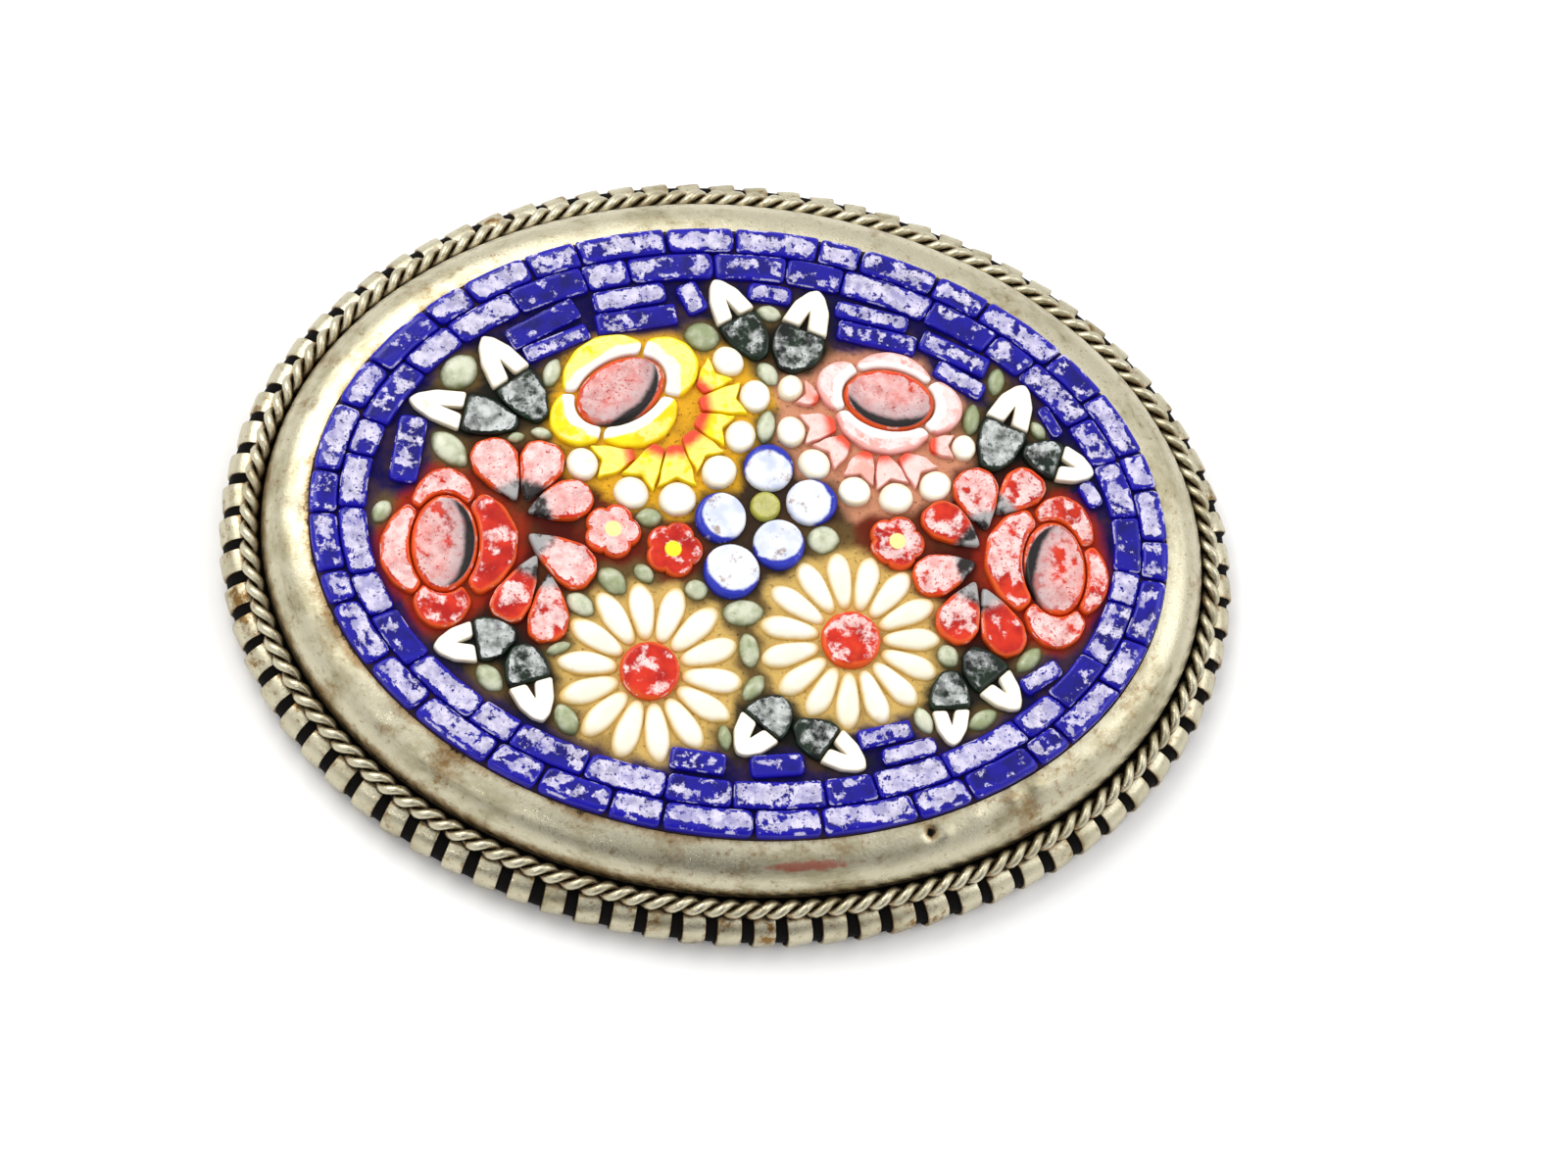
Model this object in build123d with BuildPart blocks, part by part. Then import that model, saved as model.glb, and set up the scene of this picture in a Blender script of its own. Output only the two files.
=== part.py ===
from build123d import *
import math
import os

os.makedirs("parts", exist_ok=True)

# Mosaic brooch lying face up: X along the oval, Y across it, Z up from the surface
# that the rim rests on, with the origin under the middle.

# Picture field
mosaic_length = 36.0
mosaic_width = 26.74
row_pitch = 1.2  # from one blue border row to the next
joint = 0.13  # gap between two pieces of glass
stone_height = 0.55  # ground glass above the mastic
stone_bevel = 0.07
grain_height = 0.5  # rice-shaped petals and buds
grain_dome = 0.3  # height of a petal's or bud's rounding
grain_inset = 0.5  # how far that rounding draws in, as a share of the half width left
seat_gap = 0.02  # between a piece and what it lies on
chart_shape = 0.703  # height of the flower chart for a length of one

# Setting
rim_height = 2.0
rim_reach = 3.57  # widest point of the rim, out from the mosaic's edge
rim_foot_inset = 0.3  # how far the rim's foot lies inside its widest point
foot_trim = 0.1  # ground off the rim's foot to leave it flat
rim_inner_reach = 2.2
rope_reach = 2.33  # middle of the rope border, out from the mosaic's edge
rope_radius = 0.43
rope_rise = 0.3  # rope's middle above the rim's top
bezel_width = 1.82
bezel_foot_height = 0.9  # bezel's outer foot above the rim's top
bezel_drop = 0.6  # bezel's inner lip below the tops of the glass
bezel_bulge = 0.45  # out from the straight line between lip and foot
bezel_sides = 5
rope_sides = 4  # over the rope's top
rim_bulge = 0.28
rim_sides = 2
groove_depth = 0.1  # floor beside the rope, below its middle
plate_thickness = 0.6
plate_rise = 1.5  # underside of the back plate
mastic_depth = 2.35
bed_clearance = 0.04
slot_count = 81
slot_width = 0.5
slot_depth = 0.7
slot_lean = 6.0  # degrees off square

# Pin on the back, one plain piece
pin_length = 27.0
pin_stem_radius = 0.28
pin_drop = 0.75  # stem's axis below the plate
pin_bar_width = 2.2
pin_bar_thickness = 0.3
pin_hinge_radius = 0.55
pin_hinge_width = 2.4
pin_catch_radius = 0.6
pin_catch_width = 1.3
pin_catch_clearance = 0.08
pin_point_length = 2.5

half_length = mosaic_length / 2
half_width = mosaic_width / 2
chart_half_length = half_length - 2 * row_pitch
chart_half_width = half_width - 2 * row_pitch
bed_bottom = plate_rise + plate_thickness
bed_top = bed_bottom + mastic_depth
stone_bottom = bed_top + seat_gap


# Outlines of the pieces of glass. The chart gives places and sizes in hundredths of the
# field's half length inside the border rows, the same along and across.
def spot(x, y):
    return Vector(x / 100 * chart_half_length, y / 100 / chart_shape * chart_half_width)


def rounded(x, y, radius_x, radius_y, turn=0, sides=10):
    points = []
    for step in range(sides):
        angle = 2 * math.pi * (step + 0.5) / sides
        along = radius_x * math.cos(angle)
        across = radius_y * math.sin(angle)
        cos_turn = math.cos(math.radians(turn))
        sin_turn = math.sin(math.radians(turn))
        points.append(spot(x + along * cos_turn - across * sin_turn, y + along * sin_turn + across * cos_turn))
    return points


def strip(x0, y0, x1, y1, width, profile):
    # closed outline about the line from one point to the other; each row of the profile
    # is a share along the line and a share of the half width
    length = math.hypot(x1 - x0, y1 - y0)
    along_x = (x1 - x0) / length
    along_y = (y1 - y0) / length
    right = []
    left = []
    for along, half in profile:
        middle_x = x0 + along * (x1 - x0)
        middle_y = y0 + along * (y1 - y0)
        side = half * width / 2
        right.append(spot(middle_x + side * along_y, middle_y - side * along_x))
        if half > 0:
            left.append(spot(middle_x - side * along_y, middle_y + side * along_x))
    return right + left[::-1]


grain_profile = [(0, 0), (0.16, 0.66), (0.45, 1), (0.78, 0.78), (1, 0)]
drop_profile = [(0, 0), (0.32, 0.62), (0.64, 1), (0.89, 0.86), (1, 0.42)]
rod_profile = [(0, 0.3), (0.5, 0.74), (1, 0.96)]
stick_profile = [(0, 1), (1, 1)]
leaf_body_profile = [(0, 0.3), (0.18, 0.8), (0.36, 1), (0.5, 0.98)]
leaf_tip_profile = [(0.52, 0.98), (0.78, 0.74), (0.94, 0.34), (1, 0)]
leaf_notch_profile = [(0.52, 0.2), (0.74, 0)]
petal_end = 0.5  # thickness of a rose petal's ends, as a share of its middle's
rod_shoulder = 0.42  # how near a fringe petal's corners come to its tip's middle, in half widths
rod_hollow = 1.08  # and how near its hollow end comes
fringe_tip_length = 0.92  # of the petal's width
lobe_hollow = 0.84  # depth between a fluted flower's lobes, as a share of its radius
sharpest_turn = 0.2  # limits how far a sharp corner is drawn in


def grain(x, y, length, width, turn):
    reach_x = length / 2 * math.cos(math.radians(turn))
    reach_y = length / 2 * math.sin(math.radians(turn))
    return strip(x - reach_x, y - reach_y, x + reach_x, y + reach_y, width, grain_profile)


def rose_petal(x, y, radius_x, radius_y, turn, start, end, thickness, steps=5):
    # crescent round a rose's eye between two angles, thickest in its middle
    inner = []
    outer = []
    cos_turn = math.cos(math.radians(turn))
    sin_turn = math.sin(math.radians(turn))
    for step in range(steps + 1):
        share = step / steps
        angle = math.radians(start + (end - start) * share - turn)
        swell = thickness * (petal_end + (1 - petal_end) * math.sin(math.pi * share))
        for reach, side in ((0, inner), (swell, outer)):
            along = (radius_x + reach) * math.cos(angle)
            across = (radius_y + reach) * math.sin(angle)
            side.append(spot(x + along * cos_turn - across * sin_turn, y + along * sin_turn + across * cos_turn))
    return outer + inner[::-1]


def leaf_tip(x0, y0, x1, y1, width):
    # pointed white end of a leaf, notched from its base
    arch = strip(x0, y0, x1, y1, width, leaf_tip_profile)
    notch = strip(x0, y0, x1, y1, width, leaf_notch_profile)
    return arch + notch[::-1]


def fringe_tip(inner_x, inner_y, tip_x, tip_y, width):
    # round white end of a fringe petal
    turn = math.degrees(math.atan2(tip_y - inner_y, tip_x - inner_x))
    return rounded(tip_x, tip_y, fringe_tip_length * width / 2, width / 2, turn, 9)


def fringe_rod(inner_x, inner_y, tip_x, tip_y, width):
    # coloured petal from its narrow inner end to a hollow round the white tip
    length = math.hypot(tip_x - inner_x, tip_y - inner_y)
    end = 1 - rod_shoulder * width / 2 / length
    hollow = 1 - rod_hollow * width / 2 / length
    end_x = inner_x + end * (tip_x - inner_x)
    end_y = inner_y + end * (tip_y - inner_y)
    points = strip(inner_x, inner_y, end_x, end_y, width, rod_profile)
    points.insert(len(rod_profile), spot(inner_x + hollow * (tip_x - inner_x), inner_y + hollow * (tip_y - inner_y)))
    return points


def daisy_petals(x, y, petals, first_angle):
    # rows like those of the buds
    rows = []
    middle = (daisy_petal_start + daisy_petal_end) / 2
    length = daisy_petal_end - daisy_petal_start
    for step in range(petals):
        turn = first_angle + 360 * step / petals
        middle_x = x + middle * math.cos(math.radians(turn))
        middle_y = y + middle * math.sin(math.radians(turn))
        rows.append((middle_x, middle_y, length, daisy_petal_width, turn))
    return rows


def lobed(x, y, radius, lobes=5):
    # small flower cut from a fluted rod
    points = []
    for step in range(2 * lobes):
        angle = math.pi * step / lobes
        reach = radius * (1 if step % 2 == 0 else lobe_hollow)
        points.append(spot(x + reach * math.cos(angle), y + reach * math.sin(angle)))
    return points


def row_piece(start, end, outside, inside):
    # piece of a border row between two angles of the oval, at two depths from its edge
    middle = (start + end) / 2
    corners = []
    for depth, angles in ((outside, (start, middle, end)), (inside, (end, middle, start))):
        for angle in angles:
            corners.append(Vector((half_length - depth) * math.cos(angle), (half_width - depth) * math.sin(angle)))
    return corners


def border_row(lengths, repeats, first, outside, inside):
    # lengths are shares of the turn, used in order and repeated
    shares = lengths * repeats
    pieces = []
    angle = math.radians(first)
    for share in shares:
        end = angle + 2 * math.pi * share / sum(shares)
        pieces.append(row_piece(angle, end, outside, inside))
        angle = end
    return pieces


def drawn_in(points, depth):
    # outline with every side moved inwards
    turned = sum(a.X * b.Y - b.X * a.Y for a, b in zip(points, points[1:] + points[:1]))
    corners = points if turned > 0 else points[::-1]
    moved = []
    for before, corner, after in zip(corners[-1:] + corners[:-1], corners, corners[1:] + corners[:1]):
        inward_before = (corner - before).normalized().rotate(Axis.Z, 90)
        inward_after = (after - corner).normalized().rotate(Axis.Z, 90)
        share = depth / max(1 + inward_before.dot(inward_after), sharpest_turn)
        moved.append(corner + (inward_before + inward_after) * share)
    return moved


# Flower chart
# rose eyes: x, y, radius_x, radius_y, turn
roses = {
    "left_rose": (-79, -11, 9.2, 13.9, 0),
    "right_rose": (84, -5.5, 8.8, 13.6, 6),
    "yellow_rose": (-34.5, 35.5, 13.5, 9, 35),
    "pink_rose": (38, 39, 12.8, 9, -6),
}
# petals round each eye: start, end, thickness
rose_petals = {
    "left_rose": [(54, 141, 7), (143, 236, 8), (238, 305, 10), (312, 411, 10)],
    "right_rose": [(30, 116, 7), (120, 226, 10), (228, 308, 8.5), (313, 387, 6)],
    "yellow_rose": [(78, 176, 7.8), (-9, 74, 10), (180, 258, 8.6), (262, 347, 8)],
    "pink_rose": [(38, 126, 5), (130, 202, 7.4), (206, 314, 7.2), (-42, 34, 7.6)],
}
# fan petals: point_x, point_y, round_x, round_y, width
fans = {
    "left_fan": [
        (-60.5, 3, -69.5, 18.5, 12),
        (-58.5, 3, -53, 19, 11.5),
        (-56.5, 0, -41.5, 6, 10.8),
        (-56, -7.5, -40.5, -18, 11.5),
        (-55.2, -13.5, -62.8, -30.5, 10.4),
        (-51.2, -16.6, -50.4, -36, 10.8),
    ],
    "right_fan": [
        (65, 5, 60.5, 20, 11.5),
        (68.5, 9, 79, 21, 10.5),
        (62.5, 0, 49.6, 9, 10.2),
        (61.5, -6, 46.5, -12, 10.5),
        (62, -12, 55.5, -28, 10.5),
        (65.5, -13, 73, -30.5, 10.5),
    ],
}
# fringe petals: inner_x, inner_y, tip_x, tip_y, width
fringes = {
    "yellow_fringe": [
        (-30, 17.8, -43.5, 14, 9.5),
        (-23.6, 20.3, -30.3, 7.3, 9.8),
        (-19.5, 20.5, -18, 6.5, 10.5),
        (-15.5, 24, -7.5, 15, 10),
        (-13, 29, -2, 25.5, 9.5),
        (-12.5, 33.5, 1.5, 37, 9.5),
        (-13, 38, -6, 46.5, 9.5),
    ],
    "pink_fringe": [
        (19, 37.5, 11.4, 40.2, 7.8),
        (23, 30.5, 12, 28, 9),
        (26.5, 26.5, 18.5, 19, 9.5),
        (32.5, 23.5, 29.5, 12.5, 9),
        (37, 23, 40.5, 11.5, 9.5),
        (42, 23.5, 51, 15.5, 9.5),
        (50, 27, 58.4, 27, 7.3),
    ],
}
# daisies: x, y, petals, first_angle
daisies = {"left_daisy": (-23.5, -42, 14, 99), "right_daisy": (29.5, -29.5, 15, 101)}
daisy_eye = 8.4
daisy_petal_start = 9.0
daisy_petal_end = 25
daisy_petal_width = 6.9
# round stones: x, y, radius
blue_flower_petals = [(6, 17, 6.5), (-6.5, 2, 6.8), (18, 8.2, 6.8), (-3, -13, 7.5), (9.5, -4.5, 6.8)]
blue_flower_eye = (5.5, 6, 3.9)
red_flowers = [(-35, -4, 7.5), (-18.5, -8, 7.5), (41, -1.5, 7.5)]
# leaves: foot_x, foot_y, tip_x, tip_y, width
leaves = [
    (-54.6, 25.6, -72, 47.5, 12.4),
    (-61.2, 23.8, -90.5, 28.5, 10.8),
    (3, 48, -11, 70, 11.6),
    (10, 45, 18, 69, 13.3),
    (65.4, 22, 75.2, 46.5, 12.6),
    (75, 27.5, 94.5, 22, 10.8),
    (-59, -35, -80, -39.5, 12),
    (-58.5, -37.5, -51, -57.5, 12),
    (12.5, -47, 0, -63, 13),
    (15.4, -53.2, 34, -64.5, 11),
    (55.5, -36.5, 57.5, -57, 10.9),
    (61, -30.5, 75, -45.5, 11.5),
]
# buds: x, y, length, width, turn
buds = [
    (-78, 38, 12, 9.5, 51),
    (-79, 15.5, 12, 6.5, -43),
    (-53, 39.2, 9.6, 5, 69),
    (-62, 20.3, 5.6, 3.2, 20),
    (-54.8, 21.8, 5.8, 3.4, -8),
    (-95.5, -3.5, 7, 4.8, 60),
    (4.9, 61.4, 8.4, 5.2, -11),
    (-13, 53, 10.4, 8.4, 5),
    (5, 44, 8.5, 5.2, -50),
    (5, 29, 10.5, 5.4, 82),
    (67.2, 47.2, 9.2, 5, 77),
    (60.8, 35.4, 9.2, 4.6, 84),
    (79.2, 33.8, 7, 4.4, -50),
    (-25.5, 0.5, 7, 5, 5),
    (-34.5, -18, 9, 5.6, -43),
    (-26, -15.5, 6, 4.4, -50),
    (-42.5, -25, 8.5, 5.6, -33),
    (-47.4, -37.4, 8, 4.2, 25),
    (-65, -46.5, 10, 6, -43),
    (-44.5, -56.5, 9.5, 5.6, -58),
    (21.5, -1.8, 9.5, 8.5, 0),
    (1, -24, 12, 7.5, 4),
    (-12, -18.5, 7, 5.6, 4),
    (2.5, -34.5, 10, 5.6, -74),
    (4, -45, 9, 5.4, 59),
    (-2.8, -58.4, 8.6, 4, -75),
    (55.5, -31.5, 7, 5.4, -49),
    (77.5, -31.5, 9, 5, 50),
    (65, -49, 9.5, 5, 34),
    (49.7, -50, 9, 4.8, -57),
]
# blue pieces between the border rows and the flowers: start_x, start_y, end_x, end_y, width
fillers = [
    (-88.8, 23.5, -90.9, 4.8, 7.8),
    (-65, 47.2, -47.4, 58.7, 6.4),
    (-60.6, 43.3, -44, 52.1, 5),
    (-43, 59.9, -23.5, 65.3, 6),
    (-42, 53.6, -20.5, 58.9, 6),
    (-18.5, 68, -14, 60, 6.2),
    (-1.4, 67.2, 10.8, 66.4, 5),
    (22.8, 64.3, 43, 60.8, 5.2),
    (23.5, 58.4, 45, 54.9, 5.8),
    (46.5, 57.5, 65, 50, 6.4),
    (50.4, 49.8, 64, 42.8, 5.4),
    (79.6, 40.4, 84.6, 32.2, 3.8),
    (91.6, 19.4, 95.4, 13.2, 4.2),
    (75.6, -40.1, 85.6, -32.7, 5.6),
    (32.2, -57.2, 46, -53, 5.2),
    (38.6, -61.8, 53, -57, 5),
    (4, -66.5, 17.5, -64.5, 5.4),
    (-17, -65, -3, -66.2, 5.4),
]
first_row_start = 3
second_row_start = 8
row_repeats = 3
row_lengths = [1.0, 0.7, 1.2, 0.9, 1.3, 0.8, 1.1, 0.6, 1.15, 0.95, 1.25, 0.75]
second_row_lengths = [1.1, 0.9, 1.25, 0.7, 1.05, 1.3, 0.8, 1.0, 1.2, 0.65, 1.1]


# Pieces of the brooch
def flat_stones(label, outlines):
    # pieces of glass standing on the mastic, ground flat on top and bevelled round it
    with BuildPart() as stones:
        pieces = []
        for points in outlines:
            outline = drawn_in(points, joint / 2)
            top_outline = drawn_in(outline, stone_bevel)
            bevel_foot = stone_height - stone_bevel
            for rise, section in ((0, outline), (bevel_foot, outline), (stone_height, top_outline)):
                with BuildSketch(Plane.XY.offset(stone_bottom + rise)):
                    with BuildLine():
                        Polyline(*section, close=True)
                    make_face()
            pieces.append(loft(ruled=True, mode=Mode.PRIVATE))
        add(pieces)
    stones.part.label = label
    export_step(stones.part, "parts/" + label + ".step")


def grain_stones(label, rows):
    # rice-shaped pieces of glass standing on the mastic, sloping in to a small flat top
    with BuildPart() as stones:
        pieces = []
        side = grain_height - grain_dome
        for x, y, length, width, turn in rows:
            outline = drawn_in(grain(x, y, length, width, turn), joint / 2)
            inset = grain_inset * (spot(width, 0).X - joint) / 2
            slope = math.degrees(math.atan2(inset, grain_dome))
            for rise, thickness, taper in ((0, side, 0), (side, grain_dome, slope)):
                with BuildSketch(Plane.XY.offset(stone_bottom + rise)):
                    with BuildLine():
                        Polyline(*outline, close=True)
                    make_face()
                pieces.append(extrude(amount=thickness, taper=taper, mode=Mode.PRIVATE))
        add(pieces)
    stones.part.label = label
    export_step(stones.part, "parts/" + label + ".step")


def bowed(start, end, bulge, sides):
    # corners of a line that bows out to the left of its way from one point to the other
    across = Vector(*end) - Vector(*start)
    outward = across.normalized().rotate(Axis.Z, 90)
    corners = []
    for step in range(sides + 1):
        share = step / sides
        corners.append(Vector(*start) + across * share + outward * bulge * math.sin(math.pi * share))
    return corners


# Setting: tray, bezel, rope border and notched rim soldered into one piece
bezel_foot = rim_height + bezel_foot_height
bezel_lip = stone_bottom + stone_height - bezel_drop
rim_middle = rim_height / 2
rope_middle = rim_height + rope_rise
rim_top_reach = rope_reach + rope_radius
edge_line = EllipticalCenterArc((0, 0), half_length, half_width, start_angle=0, arc_size=360)
rim_line = EllipticalCenterArc((0, 0), half_length + rim_reach, half_width + rim_reach, start_angle=0, arc_size=360)
slot_planes = []
for slot in range(slot_count):
    share = (slot + 0.5) / slot_count
    outward = (rim_line % share).rotate(Axis.Z, -90 + slot_lean)
    slot_planes.append(Plane(rim_line @ share, x_dir=outward, z_dir=(0, 0, 1)))

with BuildPart() as setting:
    with BuildSketch(Plane.XZ) as section:
        with BuildLine():
            inner = half_length
            lip = (inner, bezel_lip)
            foot = (inner + bezel_width, bezel_foot)
            ledge = (inner + bezel_width, rope_middle - groove_depth)
            rope_in = (inner + rope_reach - rope_radius, rope_middle - groove_depth)
            rope_out = (inner + rim_top_reach, rope_middle)
            rim_top = (inner + rim_top_reach, rim_height)
            rim_side = (inner + rim_reach, rim_middle)
            rim_foot = (inner + rim_reach - rim_foot_inset, -foot_trim)
            skirt = (inner + rim_inner_reach, -foot_trim)
            corner = (inner + rim_inner_reach, plate_rise)
            bezel = bowed(lip, foot, bezel_bulge, bezel_sides)
            rope = bowed(rope_in, rope_out, rope_radius, rope_sides)
            rim = bowed(rim_top, rim_side, rim_bulge, rim_sides)
            Polyline(*bezel, ledge, *rope, *rim, rim_foot, skirt, corner, (inner, plate_rise), close=True)
        make_face()
    sweep(path=edge_line)
    with BuildSketch(Plane.XY.offset(plate_rise)):
        Ellipse(half_length + bezel_width / 2, half_width + bezel_width / 2)
    extrude(amount=plate_thickness)
    with Locations(*[Location(plane) for plane in slot_planes]):
        Box(2 * slot_depth, slot_width, 3 * rim_height, mode=Mode.SUBTRACT)
    split(bisect_by=Plane.XY)
setting.part.label = "setting"
export_step(setting.part, "parts/setting.step")

# Mastic that the glass is set in
with BuildPart() as mastic_bed:
    with BuildSketch(Plane.XY.offset(bed_bottom + seat_gap)):
        Ellipse(half_length - bed_clearance, half_width - bed_clearance)
    extrude(amount=mastic_depth - seat_gap)
mastic_bed.part.label = "mastic_bed"
export_step(mastic_bed.part, "parts/mastic_bed.step")

# Pin with its hinge, stem and catch, inside the rim's hollow
bar_top = plate_rise - seat_gap
stem_rise = bar_top - pin_drop
hinge_x = -pin_length / 2
catch_x = pin_length / 2 - pin_catch_width
catch_hole = pin_stem_radius + pin_catch_clearance
with BuildPart() as brooch_pin:
    with BuildSketch(Plane.XY.offset(bar_top - pin_bar_thickness)):
        SlotOverall(pin_length + pin_bar_width, pin_bar_width)
    extrude(amount=pin_bar_thickness)
    with BuildSketch(Plane.XZ):
        with Locations((hinge_x, stem_rise)):
            Circle(pin_hinge_radius)
        with Locations((hinge_x, (stem_rise + bar_top) / 2)):
            Rectangle(2 * pin_hinge_radius, bar_top - stem_rise)
    extrude(amount=pin_hinge_width / 2, both=True)
    with BuildSketch(Plane.XZ):
        with BuildLine():
            Polyline(
                (hinge_x, stem_rise),
                (hinge_x, stem_rise + pin_stem_radius),
                (pin_length / 2 - pin_point_length, stem_rise + pin_stem_radius),
                (pin_length / 2, stem_rise),
                close=True,
            )
        make_face()
    revolve(axis=Axis((0, 0, stem_rise), (1, 0, 0)))
    with BuildSketch(Plane.YZ.offset(catch_x - pin_catch_width / 2)):
        with Locations((0, stem_rise)):
            Circle(pin_catch_radius)
        with Locations((-pin_catch_radius / 2, (stem_rise + bar_top) / 2)):
            Rectangle(pin_catch_radius, bar_top - stem_rise)
        with Locations((0, stem_rise)):
            Circle(catch_hole, mode=Mode.SUBTRACT)
        with Locations((pin_catch_radius, stem_rise)):
            Rectangle(2 * pin_catch_radius, 2 * pin_stem_radius, mode=Mode.SUBTRACT)
    extrude(amount=pin_catch_width)
brooch_pin.part.label = "brooch_pin"
export_step(brooch_pin.part, "parts/brooch_pin.step")

# Blue border rows and the blue pieces between them and the flowers
flat_stones("blue_outer_row", border_row(row_lengths, row_repeats, first_row_start, 0, row_pitch))
second_row = border_row(second_row_lengths, row_repeats, second_row_start, row_pitch, 2 * row_pitch)
flat_stones("blue_inner_row", second_row)
flat_stones("blue_fillers", [strip(*row, stick_profile) for row in fillers])

# Roses
for rose, (x, y, radius_x, radius_y, turn) in roses.items():
    flat_stones(rose + "_eye", [rounded(x, y, radius_x, radius_y, turn, 12)])
    petals = [rose_petal(x, y, radius_x, radius_y, turn, *row) for row in rose_petals[rose]]
    flat_stones(rose + "_petals", petals)

# Fans and fringes
for fan, rows in fans.items():
    flat_stones(fan, [strip(*row, drop_profile) for row in rows])
for fringe, rows in fringes.items():
    flat_stones(fringe, [fringe_rod(*row) for row in rows])
    flat_stones(fringe + "_tips", [fringe_tip(*row) for row in rows])

# Daisies and small flowers
for daisy, (x, y, petals, first_angle) in daisies.items():
    flat_stones(daisy + "_eye", [rounded(x, y, daisy_eye, daisy_eye)])
    grain_stones(daisy + "_petals", daisy_petals(x, y, petals, first_angle))
blue_petals = [rounded(x, y, radius, radius) for x, y, radius in blue_flower_petals]
flat_stones("blue_flower_petals", blue_petals)
x, y, radius = blue_flower_eye
flat_stones("blue_flower_eye", [rounded(x, y, radius, radius, 0, 8)])
flat_stones("red_flowers", [lobed(*row) for row in red_flowers])

# Leaves and buds
flat_stones("leaf_bodies", [strip(*row, leaf_body_profile) for row in leaves])
flat_stones("leaf_tips", [leaf_tip(*row) for row in leaves])
grain_stones("green_buds", buds)
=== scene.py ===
import math
import random

import bmesh
import bpy
from mathutils import Matrix, Vector, noise
from mathutils.kdtree import KDTree


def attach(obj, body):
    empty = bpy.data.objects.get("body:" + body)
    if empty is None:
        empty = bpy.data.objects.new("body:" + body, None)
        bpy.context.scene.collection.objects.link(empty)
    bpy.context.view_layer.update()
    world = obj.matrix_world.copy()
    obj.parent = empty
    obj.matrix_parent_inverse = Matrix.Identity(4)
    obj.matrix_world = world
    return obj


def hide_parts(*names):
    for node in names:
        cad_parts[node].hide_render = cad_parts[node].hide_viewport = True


mm = 0.001
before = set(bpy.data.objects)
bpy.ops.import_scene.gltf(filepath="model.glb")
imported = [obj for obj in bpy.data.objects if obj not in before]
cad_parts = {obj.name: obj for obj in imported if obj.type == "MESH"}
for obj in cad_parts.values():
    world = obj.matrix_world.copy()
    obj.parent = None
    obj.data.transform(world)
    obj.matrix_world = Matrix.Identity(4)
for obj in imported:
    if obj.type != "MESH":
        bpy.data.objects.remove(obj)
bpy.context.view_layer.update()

# the oval edge of the mosaic, which the CAD model's rings are swept along
oval = {"halfLength": 18.0, "halfWidth": 13.37}


def ovalPoint(turn, reach, height):
    # point in metres at a turn round the oval, reach and height in mm
    x = oval["halfLength"] * math.cos(turn)
    y = oval["halfWidth"] * math.sin(turn)
    out = Vector((math.cos(turn) / oval["halfLength"], math.sin(turn) / oval["halfWidth"])).normalized()
    return Vector((x + out.x * reach, y + out.y * reach, height)) * mm


# node trees are written as expressions on sockets
class Wire:
    # an output socket; maths on it adds Math nodes
    def __init__(self, graph, socket):
        self.graph = graph
        self.socket = socket

    def math(self, operation, *values):
        return self.graph.node("ShaderNodeMath", {"operation": operation}, dict(enumerate(values)))

    def other(self, name):
        return Wire(self.graph, self.socket.node.outputs[name])

    def __add__(self, value):
        return self.math("ADD", self, value)

    def __radd__(self, value):
        return self.math("ADD", value, self)

    def __sub__(self, value):
        return self.math("SUBTRACT", self, value)

    def __rsub__(self, value):
        return self.math("SUBTRACT", value, self)

    def __mul__(self, value):
        return self.math("MULTIPLY", self, value)

    def __rmul__(self, value):
        return self.math("MULTIPLY", value, self)

    def __pow__(self, value):
        return self.math("POWER", self, value)


class Graph:
    # one node tree, filled by calls to node()
    def __init__(self, tree):
        self.tree = tree

    def node(self, kind, settings=None, sockets=None, out=0):
        made = self.tree.nodes.new(kind)
        for name, value in (settings or {}).items():
            setattr(made, name, value)
        for name, value in (sockets or {}).items():
            socket = made.inputs[name]
            if isinstance(value, Wire):
                self.tree.links.new(value.socket, socket)
            elif socket.type == "RGBA" and len(value) == 3:
                socket.default_value = (*value, 1.0)
            else:
                socket.default_value = value
        return Wire(self, made.outputs[out])

    def blend(self, factor, first, second):
        return self.node("ShaderNodeMix", {"data_type": "RGBA"}, {0: factor, 6: first, 7: second}, 2)

    def step(self, value, low, high, lowResult=0.0, highResult=1.0):
        # eased change of a value between two limits
        sockets = {
            "Value": value, "From Min": low, "From Max": high, "To Min": lowResult, "To Max": highResult,
        }
        return self.node("ShaderNodeMapRange", {"interpolation_type": "SMOOTHSTEP"}, sockets)

    def vector(self, operation, first, second=None, scale=None, out=0):
        sockets = {0: first}
        if second is not None:
            sockets[1] = second
        if scale is not None:
            sockets["Scale"] = scale
        return self.node("ShaderNodeVectorMath", {"operation": operation}, sockets, out)


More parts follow.
